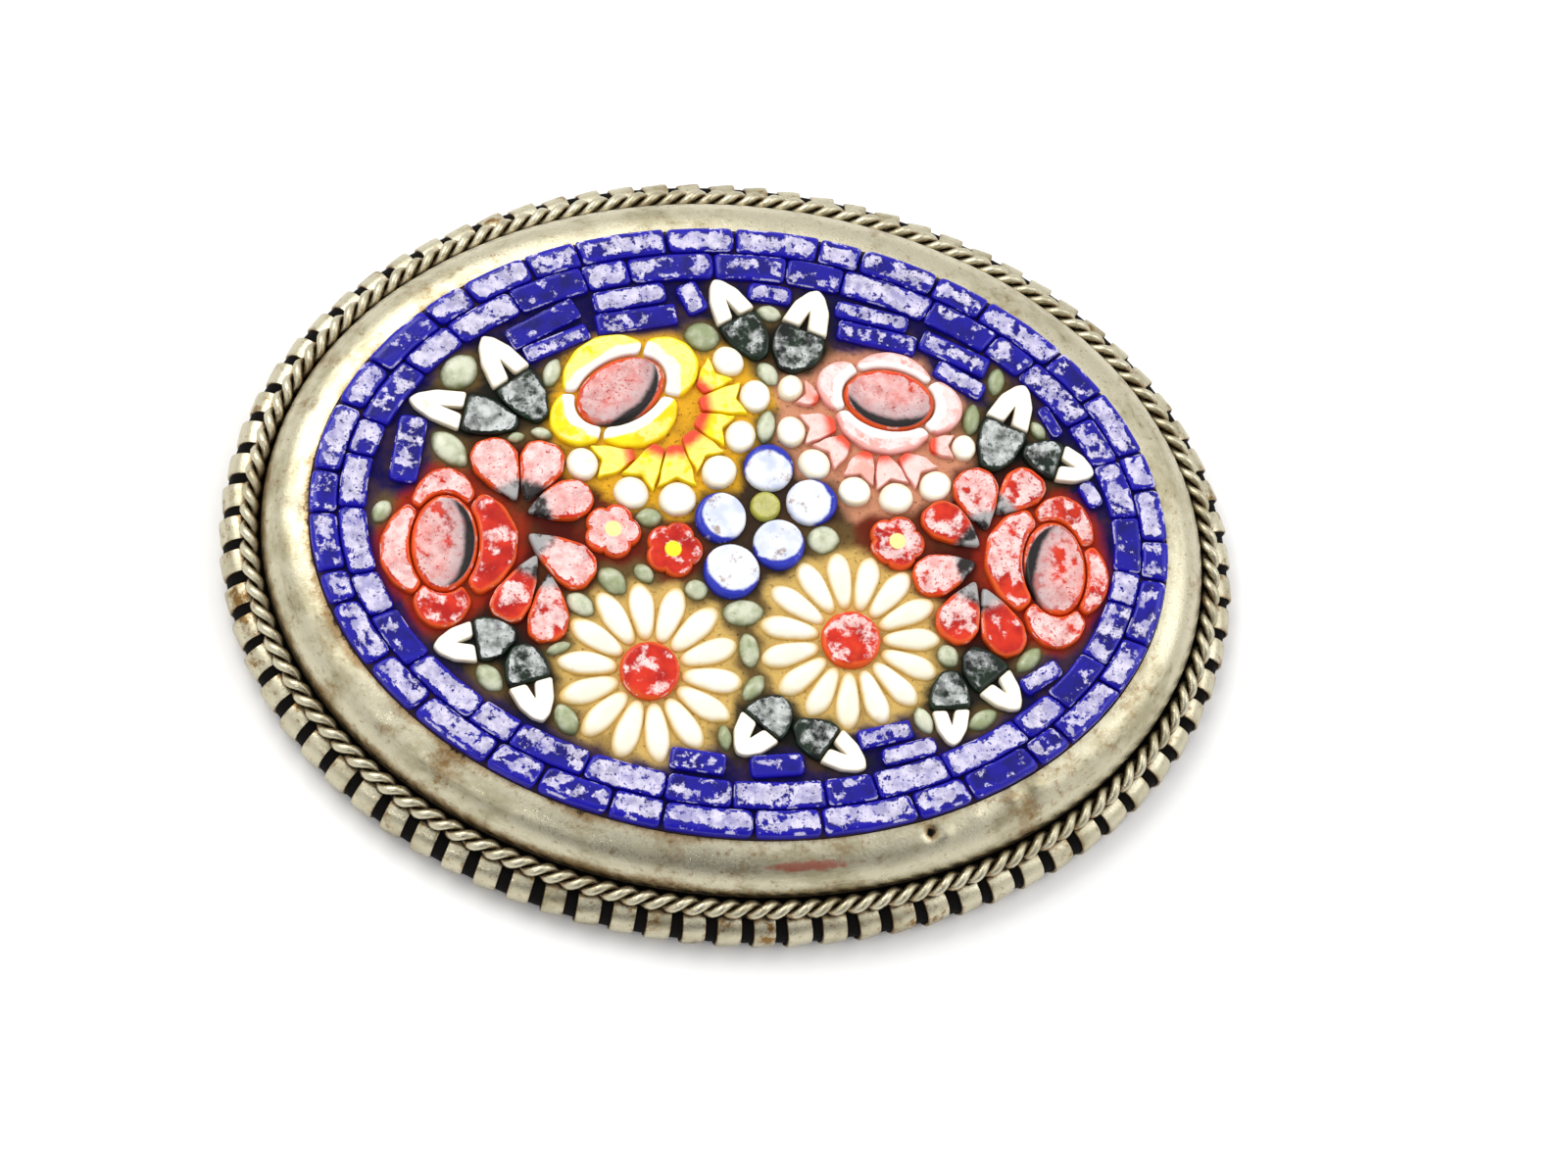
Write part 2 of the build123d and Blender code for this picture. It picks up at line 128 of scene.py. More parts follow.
class Paint(Graph):
    # a material with one Principled shader
    def __init__(self, name):
        self.material = bpy.data.materials.new(name)
        self.material.use_nodes = True
        super().__init__(self.material.node_tree)
        self.tree.nodes.clear()
        self.shader = self.tree.nodes.new("ShaderNodeBsdfPrincipled")
        output = self.tree.nodes.new("ShaderNodeOutputMaterial")
        self.tree.links.new(self.shader.outputs[0], output.inputs[0])
        self.place = self.node("ShaderNodeTexCoord", out="Object")

    def attribute(self, name, out):
        return self.node("ShaderNodeAttribute", {"attribute_name": name}, None, out)

    def speckle(self, size, detail=3.0, roughness=0.55, place=None):
        # noise with features of about this size in mm
        scale = 1.0 / (size * mm)
        return self.node("ShaderNodeTexNoise", None, {
            "Vector": place or self.place, "Scale": scale, "Detail": detail, "Roughness": roughness,
        })

    def bump(self, height, depth, strength=1.0):
        # relief of this depth in mm
        sockets = {"Height": height, "Distance": depth * mm, "Strength": strength}
        return self.node("ShaderNodeBump", None, sockets)

    def finish(self, **sockets):
        for name, value in sockets.items():
            socket = self.shader.inputs[name.replace("_", " ")]
            if isinstance(value, Wire):
                self.tree.links.new(value.socket, socket)
            elif socket.type == "RGBA":
                socket.default_value = (*value, 1.0)
            else:
                socket.default_value = value
        return self.material


def addObject(name, data):
    made = bpy.data.objects.new(name, data)
    bpy.context.scene.collection.objects.link(made)
    return made


def meshObject(name, points, faces, material, smoothAngle=40.0):
    mesh = bpy.data.meshes.new(name)
    mesh.from_pydata(points, [], faces)
    mesh.update()
    mesh.polygons.foreach_set("use_smooth", [True] * len(mesh.polygons))
    mesh.set_sharp_from_angle(angle=math.radians(smoothAngle))
    mesh.materials.append(material)
    return addObject(name, mesh)


def setAttribute(mesh, name, kind, values):
    layer = mesh.attributes.new(name, kind, "POINT")
    layer.data.foreach_set("vector" if kind == "FLOAT_VECTOR" else "value", values)


print("frame loaded")

# worn pale metal
metalLook = {
    "bright": (0.56, 0.52, 0.38),
    "dull": (0.34, 0.30, 0.18),
    # near-black: oxide, and painted shade in hollows, creases and slots
    "oxideAndShade": (0.004, 0.0035, 0.003),
    "stain": (0.22, 0.12, 0.035),
    "scratch": (0.10, 0.09, 0.07),
    "smear": (0.50, 0.07, 0.06),
    # sizes of its marks in mm
    "streakSize": 0.22,
    "cloudSize": 2.6,
    "stainSize": 2.4,
    "grainSize": 0.09,
    "fleckSize": 0.35,
    "reliefDepth": 0.025,
    "roughness": (0.20, 0.42),
}


def metalPaint(name, stains, grime):
    look = metalLook
    paint = Paint(name)
    soilAndShade = paint.attribute("soilAndShade", "Fac")
    smear = paint.attribute("smear", "Fac")
    streak = paint.speckle(look["streakSize"], 4.0, 0.65, paint.attribute("way", "Vector"))
    cloud = paint.speckle(look["cloudSize"], 4.0, 0.6)
    grain = paint.speckle(look["grainSize"], 4.0, 0.7)
    fleck = paint.speckle(look["fleckSize"], 5.0, 0.75)
    blot = paint.speckle(look["stainSize"], 5.0, 0.75)
    uneven = fleck - 0.5
    # dark: painted shade with some oxide, in hollows, creases, the rim's slots and under the rope
    dark = paint.step(soilAndShade + uneven, 0.42, 0.72)
    dulled = paint.step(cloud + (streak - 0.5) * 0.5, 0.44, 0.72) * 0.8
    colour = paint.blend(dulled, look["bright"], look["dull"])
    # from the metal outwards: how much of each mark, and its colour
    for amount, shade in (
        (paint.step(blot + fleck * 0.25, 0.68, 0.80) * stains, "stain"),
        (paint.step(soilAndShade + grime + (cloud - 0.5) * 0.5 + uneven * 0.6, 0.14, 0.46) * 0.75, "stain"),
        (paint.step(streak, 0.60, 0.72) * paint.step(cloud, 0.50, 0.62) * 0.7, "scratch"),
        (paint.step(fleck, 0.57, 0.68) * 0.6, "stain"),
        (paint.step(smear + uneven * 1.2, 0.4, 0.75) * 0.6, "smear"),
        (dark, "oxideAndShade"),
    ):
        colour = paint.blend(amount, colour, look[shade])
    rough = paint.step(grain + cloud * 0.5, 0.45, 0.95, *look["roughness"]) + dark * 0.4
    relief = grain * 0.5 + fleck * 0.8
    return paint.finish(
        Base_Color=colour, Metallic=1.0 - dark, Roughness=rough, Specular_IOR_Level=0.05,
        Normal=paint.bump(relief, look["reliefDepth"], 0.7),
    )


settingPaint = metalPaint("nickelSilver", 0.5, 0.0)
rimPaint = metalPaint("nickelSilverRim", 1.0, 0.14)
ropePaint = metalPaint("nickelSilverWire", 0.3, 0.0)

settingShape = {
    "sectors": 600,
    "bedFloor": 2.1,
    "plateUnderside": 1.5,
    "plateEdge": 2.12,
    "lip": (0.0, 4.42),
    "foot": (1.82, 2.9),
    "bulge": 0.45,
    "bezelSteps": 18,
    "roundness": 0.9,
    "wave": 0.045,  # unevenness of the bezel, mm
    "ripples": 420.0,  # of that unevenness, a metre
    # scratches run along the ring: mm of their pattern round the oval, and from one row to the next
    "wayRound": 4.0,
    "wayRow": 0.1,
    # soil on the bezel's rows from its lip outwards, and soil with painted shade on its rows from its foot inwards,
    # in the crease under the rope
    "soil": {0: 0.45, 1: 0.28, 2: 0.14, -1: 0.46, -2: 0.4, -3: 0.3, -4: 0.2, -5: 0.1},
    # groove under the rope, core of the rim, foot, and wall of the hollow behind: reach, height, and soil with
    # painted shade, black where these show in the slots between the rim's blocks
    "skirt": [
        (1.83, 2.70, 0.34), (1.84, 2.52, 0.55), (1.86, 2.36, 1.0), (1.90, 2.05, 1.0), (2.30, 1.90, 1.0),
        (2.80, 1.84, 1.0), (3.00, 1.76, 1.0), (3.17, 1.58, 1.0), (3.30, 1.30, 1.0), (3.36, 1.00, 1.0),
        (3.32, 0.68, 1.0), (3.22, 0.34, 1.0), (3.10, 0.06, 1.0), (3.06, 0.0, 0.6), (2.22, 0.0, 0.1),
        (2.20, 0.04, 0.2), (2.20, 1.44, 0.4),
    ],
    # wear: degrees round the oval, then reach, radius and depth in mm, then how soiled, with painted shade in the
    # deep pit
    "marks": [
        (163.0, 1.2, 0.5, 0.10, 0.15), (182.5, 0.5, 1.0, 0.10, 0.22), (206.0, 0.5, 1.2, 0.08, 0.20),
        (221.5, 1.0, 0.9, 0.12, 0.32), (231.0, 0.7, 1.0, 0.04, 0.34), (249.5, 0.5, 1.6, 0.03, 0.22),
        (263.0, 0.8, 2.2, 0.02, 0.24), (296.5, 0.55, 0.3, 0.22, 0.90), (298.5, 0.8, 0.35, -0.07, 0.10),
        (303.0, 0.35, 0.5, -0.05, 0.20), (309.0, 0.4, 0.4, -0.11, 0.0), (313.0, 0.35, 0.4, -0.12, 0.0),
        (311.0, 1.05, 0.6, 0.06, 0.40),
    ],
    "smear": (280.0, 7.0, 1.0, 0.24),  # red mark: degrees and its spread, reach and its spread
    "dirtySide": 205.0,
    "cleanest": 0.45,  # share of the soil on the other side
    "push": (0.6, 0.8),  # how much of a dent or a wave goes sideways, and down
}


def bezelProfile():
    shape = settingShape
    lip = Vector(shape["lip"])
    chord = Vector(shape["foot"]) - lip
    outward = Vector((-chord.y, chord.x)).normalized()
    points = []
    for step in range(shape["bezelSteps"] + 1):
        share = step / shape["bezelSteps"]
        bulge = shape["bulge"] * math.sin(math.pi * share) ** shape["roundness"]
        points.append(lip + chord * share + outward * bulge)
    return points


def settingProfile():
    # rows of reach, height, soil with painted shade, and share of the waviness
    shape = settingShape
    rows = [(*point, 0.0, 1.0) for point in bezelProfile()]
    for row, soil in shape["soil"].items():
        rows[row] = (*rows[row][:2], soil, 0.6)
    rows += [(*row, 0.0) for row in shape["skirt"]]
    return rows + [(shape["plateEdge"], shape["plateUnderside"], 0.22, 0.0)]


def strip(faces, here, there, count, closed=True):
    # faces between two rows of points, which start at these numbers
    for step in range(count if closed else count - 1):
        following = (step + 1) % count
        faces.append((here + step, here + following, there + following, there + step))


def makeSettingBody():
    shape = settingShape
    rows = settingProfile()
    count, sectors = len(rows), shape["sectors"]
    points, soilAndShade, smears, ways, faces = [], [], [], [], []
    worn = [
        (ovalPoint(math.radians(degrees), reach, 0).xy, radius * mm, depth, soil)
        for degrees, reach, radius, depth, soil in shape["marks"]
    ]
    middle, spread, smearReach, smearSpread = shape["smear"]
    sideways, down = shape["push"]
    wayRound, wayRow = shape["wayRound"] * mm, shape["wayRow"] * mm
    for sector in range(sectors):
        turn = 2 * math.pi * sector / sectors
        facing = max(0.0, math.cos(turn - math.radians(shape["dirtySide"])))
        soiled = shape["cleanest"] + (1 - shape["cleanest"]) * facing
        for row, (reach, height, dark, wave) in enumerate(rows):
            point = ovalPoint(turn, reach, height)
            ways.extend((wayRound * math.cos(turn), wayRound * math.sin(turn), row * wayRow))
            if wave:
                spot = Vector((point.x, point.y, point.z * 0.5))
                lift = noise.noise(spot * shape["ripples"]) * shape["wave"] * wave
                pressed = 0.0
                dark *= soiled
                for mark, radius, depth, soil in worn:
                    gap = (point.xy - mark).length / radius
                    pressed -= depth * wave * math.exp(-2 * gap * gap)
                    dark += soil * math.exp(-1.2 * gap * gap)
                sunk = height + (min(lift, 0.0) + pressed) * down
                point = ovalPoint(turn, reach + (lift + pressed) * sideways, sunk)
            points.append(point)
            soilAndShade.append(min(dark, 1.0))
            away = ((math.degrees(turn) - middle) / spread) ** 2 + ((reach - smearReach) / smearSpread) ** 2
            smears.append(math.exp(-away) if wave else 0.0)
    # the plate's underside, the inside wall and the tray's floor
    underside = len(points)
    inner = underside + 1
    floorCentre = inner + sectors
    points.append(Vector((0, 0, shape["plateUnderside"])) * mm)
    points += [ovalPoint(2 * math.pi * sector / sectors, 0.0, shape["bedFloor"]) for sector in range(sectors)]
    points.append(Vector((0, 0, shape["bedFloor"])) * mm)
    soilAndShade += [0.0] + [1.0] * (sectors + 1)
    for sector in range(sectors):
        following = (sector + 1) % sectors
        here, there = sector * count, following * count
        strip(faces, here, there, count, closed=False)
        faces.append((here + count - 1, underside, there + count - 1))
        faces.append((here, there, inner + following, inner + sector))
        faces.append((inner + sector, inner + following, floorCentre))
    made = meshObject("settingBody", points, faces, settingPaint, 35.0)
    setAttribute(made.data, "soilAndShade", "FLOAT", soilAndShade)
    setAttribute(made.data, "way", "FLOAT_VECTOR", ways + [0.0] * (3 * len(points) - len(ways)))
    setAttribute(made.data, "smear", "FLOAT", smears + [0.0] * (len(points) - len(smears)))
    return made


settingBody = makeSettingBody()
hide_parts("setting")
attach(settingBody, "root")
print("setting body made")


def ovalCurve(name, reach, height, count=240):
    data = bpy.data.curves.new(name, "CURVE")
    data.dimensions = "3D"
    spline = data.splines.new("POLY")
    spline.points.add(count - 1)
    for step, point in enumerate(spline.points):
        point.co = (*ovalPoint(2 * math.pi * step / count, reach, height), 1.0)
    spline.use_cyclic_u = True
    return addObject(name, data)


def bakedMesh(name, source, tree, inputs):
    # runs a Geometry Nodes tree on an object and keeps only the mesh; inputs are (kind, value) by title
    modifier = source.modifiers.new(tree.name, "NODES")
    modifier.node_group = tree
    for item in tree.interface.items_tree:
        if item.in_out == "INPUT" and item.name in inputs:
            modifier[item.identifier] = inputs[item.name][1]
    evaluated = source.evaluated_get(bpy.context.evaluated_depsgraph_get())
    mesh = bpy.data.meshes.new_from_object(evaluated)
    mesh.name = name
    source.modifiers.remove(modifier)
    bpy.data.objects.remove(source)
    return addObject(name, mesh)


def newTree(name, inputs):
    tree = bpy.data.node_groups.new(name, "GeometryNodeTree")
    tree.interface.new_socket(name="Geometry", in_out="INPUT", socket_type="NodeSocketGeometry")
    for title, (kind, _) in inputs.items():
        tree.interface.new_socket(name=title, in_out="INPUT", socket_type="NodeSocket" + kind)
    tree.interface.new_socket(name="Geometry", in_out="OUTPUT", socket_type="NodeSocketGeometry")
    graph = Graph(tree)
    return graph, graph.node("NodeGroupInput")


def closeTree(graph, geometry, material):
    realized = graph.node("GeometryNodeRealizeInstances", None, {"Geometry": geometry})
    smooth = graph.node("GeometryNodeSetShadeSmooth", None, {"Geometry": realized})
    painted = graph.node("GeometryNodeSetMaterial", None, {"Geometry": smooth, "Material": material})
    output = graph.tree.nodes.new("NodeGroupOutput")
    graph.tree.links.new(painted.socket, output.inputs[0])
    return graph.tree


# rope border: two strands twisted round the oval
rope = {
    "reach": 2.33,
    "height": 2.34,
    "twists": 67,
    "stepsPerTwist": 14,
    "helixRadius": 0.215,
    "strandRadius": 0.207,
    "sides": 9,
    # painted shade with some soil, towards the rope's middle and low on its flanks: how much, and how fast it fades
    "innerShadeAndSoil": (1.55, 1.9),
    "lowShadeAndSoil": (0.42, 1.1),
}
ropeInputs = {
    "Twists": ("Int", rope["twists"]),
    "Steps Per Twist": ("Int", rope["stepsPerTwist"]),
    "Sides": ("Int", rope["sides"]),
    "Helix Radius": ("Float", rope["helixRadius"] * mm),
    "Strand Radius": ("Float", rope["strandRadius"] * mm),
}


def ropeTree():
    graph, given = newTree("twistedRope", ropeInputs)
    twists = given.other("Twists")
    count = twists * given.other("Steps Per Twist")
    line = graph.node("GeometryNodeResampleCurve", None, {"Curve": given, "Count": count})
    along = graph.node("GeometryNodeSplineParameter", None, None, "Factor")
    tangent = graph.node("GeometryNodeInputTangent")
    side = graph.vector("NORMALIZE", graph.vector("CROSS_PRODUCT", tangent, (0, 0, 1)))
    wire = graph.node("GeometryNodeCurvePrimitiveCircle", None, {
        "Resolution": given.other("Sides"), "Radius": given.other("Strand Radius"),
    })
    joined = graph.tree.nodes.new("GeometryNodeJoinGeometry")
    for phase in (0.0, math.pi):
        angle = along * twists * (2 * math.pi) + phase
        across = angle.math("COSINE", angle) * given.other("Helix Radius")
        upward = angle.math("SINE", angle) * given.other("Helix Radius")
        lift = graph.node("ShaderNodeCombineXYZ", None, {"Z": upward})
        offset = graph.vector("ADD", graph.vector("SCALE", side, scale=across), lift)
        strand = graph.node("GeometryNodeSetPosition", None, {"Geometry": line, "Offset": offset})
        skin = graph.node("GeometryNodeCurveToMesh", None, {"Curve": strand, "Profile Curve": wire})
        graph.tree.links.new(skin.socket, joined.inputs[0])
    return closeTree(graph, Wire(graph, joined.outputs[0]), ropePaint)


def markRopeHollows(made):
    mesh = made.data
    sides = rope["sides"]
    places = [vertex.co for vertex in mesh.vertices]
    centres = [sum(places[first:first + sides], Vector()) / sides for first in range(0, len(places), sides)]
    half = len(centres) // 2
    soilAndShade = []
    far = (rope["helixRadius"] + rope["strandRadius"]) * mm
    for number, place in enumerate(places):
        ring = number // sides % half
        axis = (centres[ring] + centres[ring + half]) / 2
        # painted shade with some soil: darker towards the middle between the strands, and low on the rope
        inside = rope["innerShadeAndSoil"][0] - rope["innerShadeAndSoil"][1] * (place - axis).length / far
        low = rope["lowShadeAndSoil"][0] - rope["lowShadeAndSoil"][1] * (place.z - axis.z) / far
        soilAndShade.append(max(0.0, min(1.0, max(inside, low))))
    setAttribute(mesh, "soilAndShade", "FLOAT", soilAndShade)


ropeLine = ovalCurve("ropeLine", rope["reach"], rope["height"])
ropeBorder = bakedMesh("ropeBorder", ropeLine, ropeTree(), ropeInputs)
markRopeHollows(ropeBorder)
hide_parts("setting")
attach(ropeBorder, "root")
print("rope made", len(ropeBorder.data.polygons))

# notched rim: one rounded block after another
rim = {
    "count": 81,
    "width": 1.01,
    "lean": 6.0,  # degrees off square
    "leanSpread": 3.0,
    "widthSpread": 0.09,
    "seed": 7,
    "middle": 3.1,  # reach of the line that the blocks stand on
    "inset": 0.045,  # how far the whole row stands further in, so that leaning blocks keep inside
    "seatReach": 2.7,  # the blocks get soil and painted shade on the side that lies nearer in than this, under the rope
    # reach and height round the section of one block
    "section": [
        (2.50, 1.99), (2.80, 1.99), (3.02, 1.94), (3.21, 1.82), (3.37, 1.63), (3.49, 1.36), (3.55, 1.05),
        (3.53, 0.72), (3.44, 0.38), (3.30, 0.04), (3.24, 0.0), (2.95, 0.0), (2.50, 1.2),
    ],
    "core": (3.05, 0.95),  # that the section draws in to
    # place along the block as a share of its half width, how far the section draws in there, soil with painted
    # shade, black at the ends that face the slots
    "stations": [
        (-1.0, 0.22, 1.0), (-0.985, 0.07, 0.4), (-0.93, 0.02, 0.12), (-0.6, 0.0, 0.0),
        (0.6, 0.0, 0.0), (0.93, 0.02, 0.12), (0.985, 0.07, 0.4), (1.0, 0.22, 1.0),
    ],
    # soil with painted shade, darker towards the block's foot: amount at the foot, and how fast it fades a mm
    # upwards
    "underShadeAndSoil": (0.35, 0.4),
    "leastHeight": 0.965,  # of a block, as a share
}


def makeRimBlock():
    core = Vector(rim["core"])
    points, soilAndShade, faces = [], [], []
    for share, drawIn, soil in rim["stations"]:
        for reach, height in rim["section"]:
            corner = Vector((reach, height))
            inward = core - corner
            corner += inward.normalized() * min(drawIn, inward.length * 0.5)
            if height == 0.0:
                corner.y = 0.0
            points.append(Vector((share * rim["width"] / 2, rim["middle"] - corner.x, corner.y)) * mm)
            # soil with painted shade: black at the block's ends and under the rope, darker low on the block
            under = rim["underShadeAndSoil"][0] - rim["underShadeAndSoil"][1] * height
            soilAndShade.append(max(soil, 0.9 if reach < rim["seatReach"] else 0.0, under))
    count = len(rim["section"])
    last = len(points) - count
    for here in range(0, last, count):
        for corner in range(count):
            following = (corner + 1) % count
            there = here + count
            faces.append((here + corner, there + corner, there + following, here + following))
    faces.append(tuple(range(count)))
    faces.append(tuple(range(last + count - 1, last - 1, -1)))
    made = meshObject("rimBlock", points, faces, rimPaint, 50.0)
    setAttribute(made.data, "soilAndShade", "FLOAT", soilAndShade)
    return made


rimBlock = makeRimBlock()  # stands on each point of the line, and is removed after that
rimInputs = {
    "Block": ("Object", rimBlock),
    "Count": ("Int", rim["count"]),
    "Seed": ("Int", rim["seed"]),
    "Least Height": ("Float", rim["leastHeight"]),
    "Lean": ("Float", math.radians(rim["lean"])),
    "Lean Spread": ("Float", math.radians(rim["leanSpread"])),
    "Width Spread": ("Float", rim["widthSpread"]),
}


def randomValue(graph, low, high, seed):
    sockets = {2: low, 3: high, "Seed": seed}
    return graph.node("FunctionNodeRandomValue", {"data_type": "FLOAT"}, sockets, 1)


def rimTree():
    graph, given = newTree("rimBlocks", rimInputs)
    spots = graph.node("GeometryNodeCurveToPoints", None, {"Curve": given, "Count": given.other("Count")})
    facing = graph.node("FunctionNodeAlignRotationToVector", {"axis": "X", "pivot_axis": "Z"}, {
        "Vector": spots.other("Tangent"),
    })
    block = graph.node("GeometryNodeObjectInfo", None, {"Object": given.other("Block")}, "Geometry")
    seed = given.other("Seed")
    spread = given.other("Width Spread")
    width = randomValue(graph, 1.0 - spread, 1.0 + spread, seed)
    height = randomValue(graph, given.other("Least Height"), 1.0, seed + 1)
    scale = graph.node("ShaderNodeCombineXYZ", None, {"X": width, "Y": 1.0, "Z": height})
    placed = graph.node("GeometryNodeInstanceOnPoints", None, {
        "Points": spots, "Instance": block, "Rotation": facing, "Scale": scale,
    })
    swing = given.other("Lean") + given.other("Lean Spread") * randomValue(graph, -1.0, 1.0, seed + 2)
    turned = graph.node("GeometryNodeRotateInstances", None, {
        "Instances": placed, "Rotation": graph.node("ShaderNodeCombineXYZ", None, {"Z": swing}),
    })
    return closeTree(graph, turned, rimPaint)


rimLine = ovalCurve("rimLine", rim["middle"] - rim["inset"], 0.0)
rimBlocks = bakedMesh("rimBlocks", rimLine, rimTree(), rimInputs)
bpy.data.objects.remove(rimBlock)
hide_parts("setting")
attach(rimBlocks, "root")
print("rim made", len(rimBlocks.data.polygons))

# outlines of the pieces of glass, from their CAD solids
outlineLimits = {
    "merge": 1e-6,  # metres
    "level": 1e-5,
    "straight": 1.0,  # degrees
    "sharpest": 0.25,  # keeps a moved corner near its old place
    "softened": 0.42,  # most of a side that one rounded corner takes
}


def sidesOf(outline):
    return list(zip(outline, outline[1:] + outline[:1]))


def cornersOf(outline):
    return list(zip(outline[-1:] + outline[:-1], outline, outline[1:] + outline[:1]))


def stoneOutlines(node):
    # outlines of the undersides in metres, anticlockwise from above
    level = outlineLimits["level"]
    work = bmesh.new()
    work.from_mesh(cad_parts[node].data)
    bmesh.ops.remove_doubles(work, verts=work.verts, dist=outlineLimits["merge"])
    floor = min(vertex.co.z for vertex in work.verts)
    follows = {}
    for face in work.faces:
        if max(vertex.co.z for vertex in face.verts) > floor + level:
            continue
        for loop in face.loops:
            edge = loop.edge
            flat = [f for f in edge.link_faces if max(v.co.z for v in f.verts) <= floor + level]
            if len(flat) == 1:
                follows[loop.link_loop_next.vert.index] = loop.vert.index
    places = {vertex.index: vertex.co.xy.copy() for vertex in work.verts}
    work.free()
    outlines = []
    while follows:
        start, following = follows.popitem()
        chain = [start]
        while following != start:
            chain.append(following)
            following = follows.pop(following)
        corners = [places[index] for index in chain]
        kept = []
        for before, corner, after in cornersOf(corners):
            if (corner - before).angle(after - corner, 0.0) > math.radians(outlineLimits["straight"]):
                kept.append(corner)
        outlines.append(kept if doubleArea(kept) > 0 else kept[::-1])
    outlines.sort(key=lambda corners: (round(corners[0].x, 6), round(corners[0].y, 6)))
    return outlines


def movedIn(outline, depths):
    # outline with each side moved inwards by its own depth
    moved = []
    for index, (before, corner, after) in enumerate(cornersOf(outline)):
        first = Vector((before.y - corner.y, corner.x - before.x)).normalized()
        second = Vector((corner.y - after.y, after.x - corner.x)).normalized()
        turn = max(1 + first.dot(second), outlineLimits["sharpest"])
        moved.append(corner + (first * depths[index - 1] + second * depths[index]) / turn)
    return moved


def divided(outline, longest):
    # long sides in shorter steps, each of which can move by its own amount
    points = []
    for start, end in sidesOf(outline):
        count = math.ceil((end - start).length / longest)
        points += [start.lerp(end, step / count) for step in range(count)]
    return points


def softened(outline, cut):
    # every corner rounded off with four points
    most = outlineLimits["softened"]
    points = []
    for before, corner, after in cornersOf(outline):
        toBefore, toAfter = before - corner, after - corner
        reach = min(cut, most * toBefore.length, most * toAfter.length)
        start = corner + toBefore.normalized() * reach
        end = corner + toAfter.normalized() * reach
        for step in range(4):
            share = step / 3
            points.append(start * (1 - share) ** 2 + corner * 2 * share * (1 - share) + end * share ** 2)
    return points


def centreOf(outline):
    return sum(outline, Vector((0, 0))) / len(outline)


def longAxis(outline):
    centre = centreOf(outline)
    xx = sum((p.x - centre.x) ** 2 for p in outline)
    yy = sum((p.y - centre.y) ** 2 for p in outline)
    xy = sum((p.x - centre.x) * (p.y - centre.y) for p in outline)
    angle = 0.5 * math.atan2(2 * xy, xx - yy)
    return Vector((math.cos(angle), math.sin(angle)))


def doubleArea(outline):
    return sum(start.x * end.y - end.x * start.y for start, end in sidesOf(outline))


def thickness(outline):
    # rough width of a slim shape
    return doubleArea(outline) / sum((end - start).length for start, end in sidesOf(outline))


def sharpCorner(outline):
    openings = [(before - corner).angle(after - corner) for before, corner, after in cornersOf(outline)]
    return outline[openings.index(min(openings))]


lobed = {"count": 5, "points": 40, "hollow": 0.74, "swell": 0.24, "roundness": 0.6}  # shares of its reach
rice = {"points": 20, "slimmer": 0.93}


def lobedOutline(outline):
    # a flower with shallow hollows between its lobes
    centre = centreOf(outline)
    far = max((p - centre for p in outline), key=lambda arm: arm.length)
    points = []
    for step in range(lobed["points"]):
        angle = 2 * math.pi * step / lobed["points"]
        swell = lobed["swell"] * abs(math.cos(lobed["count"] * angle / 2)) ** lobed["roundness"]
        points.append(centre + Matrix.Rotation(angle, 2) @ far * (lobed["hollow"] + swell))
    return points


def riceOutline(outline):
    # blunt ends in place of the pointed ones, and a little slimmer
    centre = centreOf(outline)
    along = longAxis(outline)
    across = Vector((-along.y, along.x))
    halfLength = max(abs((p - centre).dot(along)) for p in outline)
    halfWidth = max(abs((p - centre).dot(across)) for p in outline) * rice["slimmer"]
    points = []
    for step in range(rice["points"]):
        angle = 2 * math.pi * (step + 0.5) / rice["points"]
        points.append(centre + along * halfLength * math.cos(angle) + across * halfWidth * math.sin(angle))
    return points


redrawn = {
    "red_flowers": lobedOutline, "left_daisy_petals": riceOutline, "right_daisy_petals": riceOutline,
}


def shownOutlines(node):
    redraw = redrawn.get(node, list)
    return [redraw(outline) for outline in stoneOutlines(node)]


mastic = {
    "height": 4.66,
    "edgeHeight": 4.40,
    "lumps": ((1.7, 0.07), (5.0, 0.028)),  # how many to a mm, and their height
    "rings": 64,
    "sectors": 220,
    "clearance": 0.03,
    "floor": 2.12,
    "spacing": 0.12,  # between the places that are noted along the pieces' edges
    "nearest": 12,  # how many of them colour a point
    "nearness": 0.12,  # mm added to their distance, so that none counts alone
    "plain": (0.50, 0.29, 0.08),
    "plainShare": 0.05,
    "cloud": (0.10, 0.05, 0.015),
    "grit": (0.03, 0.016, 0.008),
    "atBezel": (0.05, 0.03, 0.012),
    # dirt and colour rubbed into it beside the pieces of each sort, and painted shade in the narrow gaps between
    # them
    "besides": {
        "blue_flower": (0.035, 0.02, 0.012),
        "blue": (0.004, 0.002, 0.06),
        "yellow": (0.72, 0.38, 0.02),
        "pink": (0.58, 0.26, 0.15),
        "rose": (0.30, 0.018, 0.006),
        "fan": (0.06, 0.004, 0.002),
        "red": (0.13, 0.014, 0.005),
        "leaf": (0.010, 0.010, 0.008),
        "daisy": (0.60, 0.40, 0.12),
        "buds": (0.12, 0.075, 0.025),
    },
}


def masticPaint():
    paint = Paint("ochreMastic")
    grit = paint.speckle(0.16, 4.0, 0.7)
    colour = paint.attribute("ground", "Color")
    colour = paint.blend(paint.step(paint.speckle(1.8), 0.45, 0.75) * 0.5, colour, mastic["cloud"])
    colour = paint.blend(paint.step(grit, 0.54, 0.75), colour, mastic["grit"])
    return paint.finish(Base_Color=colour, Roughness=0.7, Specular_IOR_Level=0.1, Normal=paint.bump(grit, 0.05))


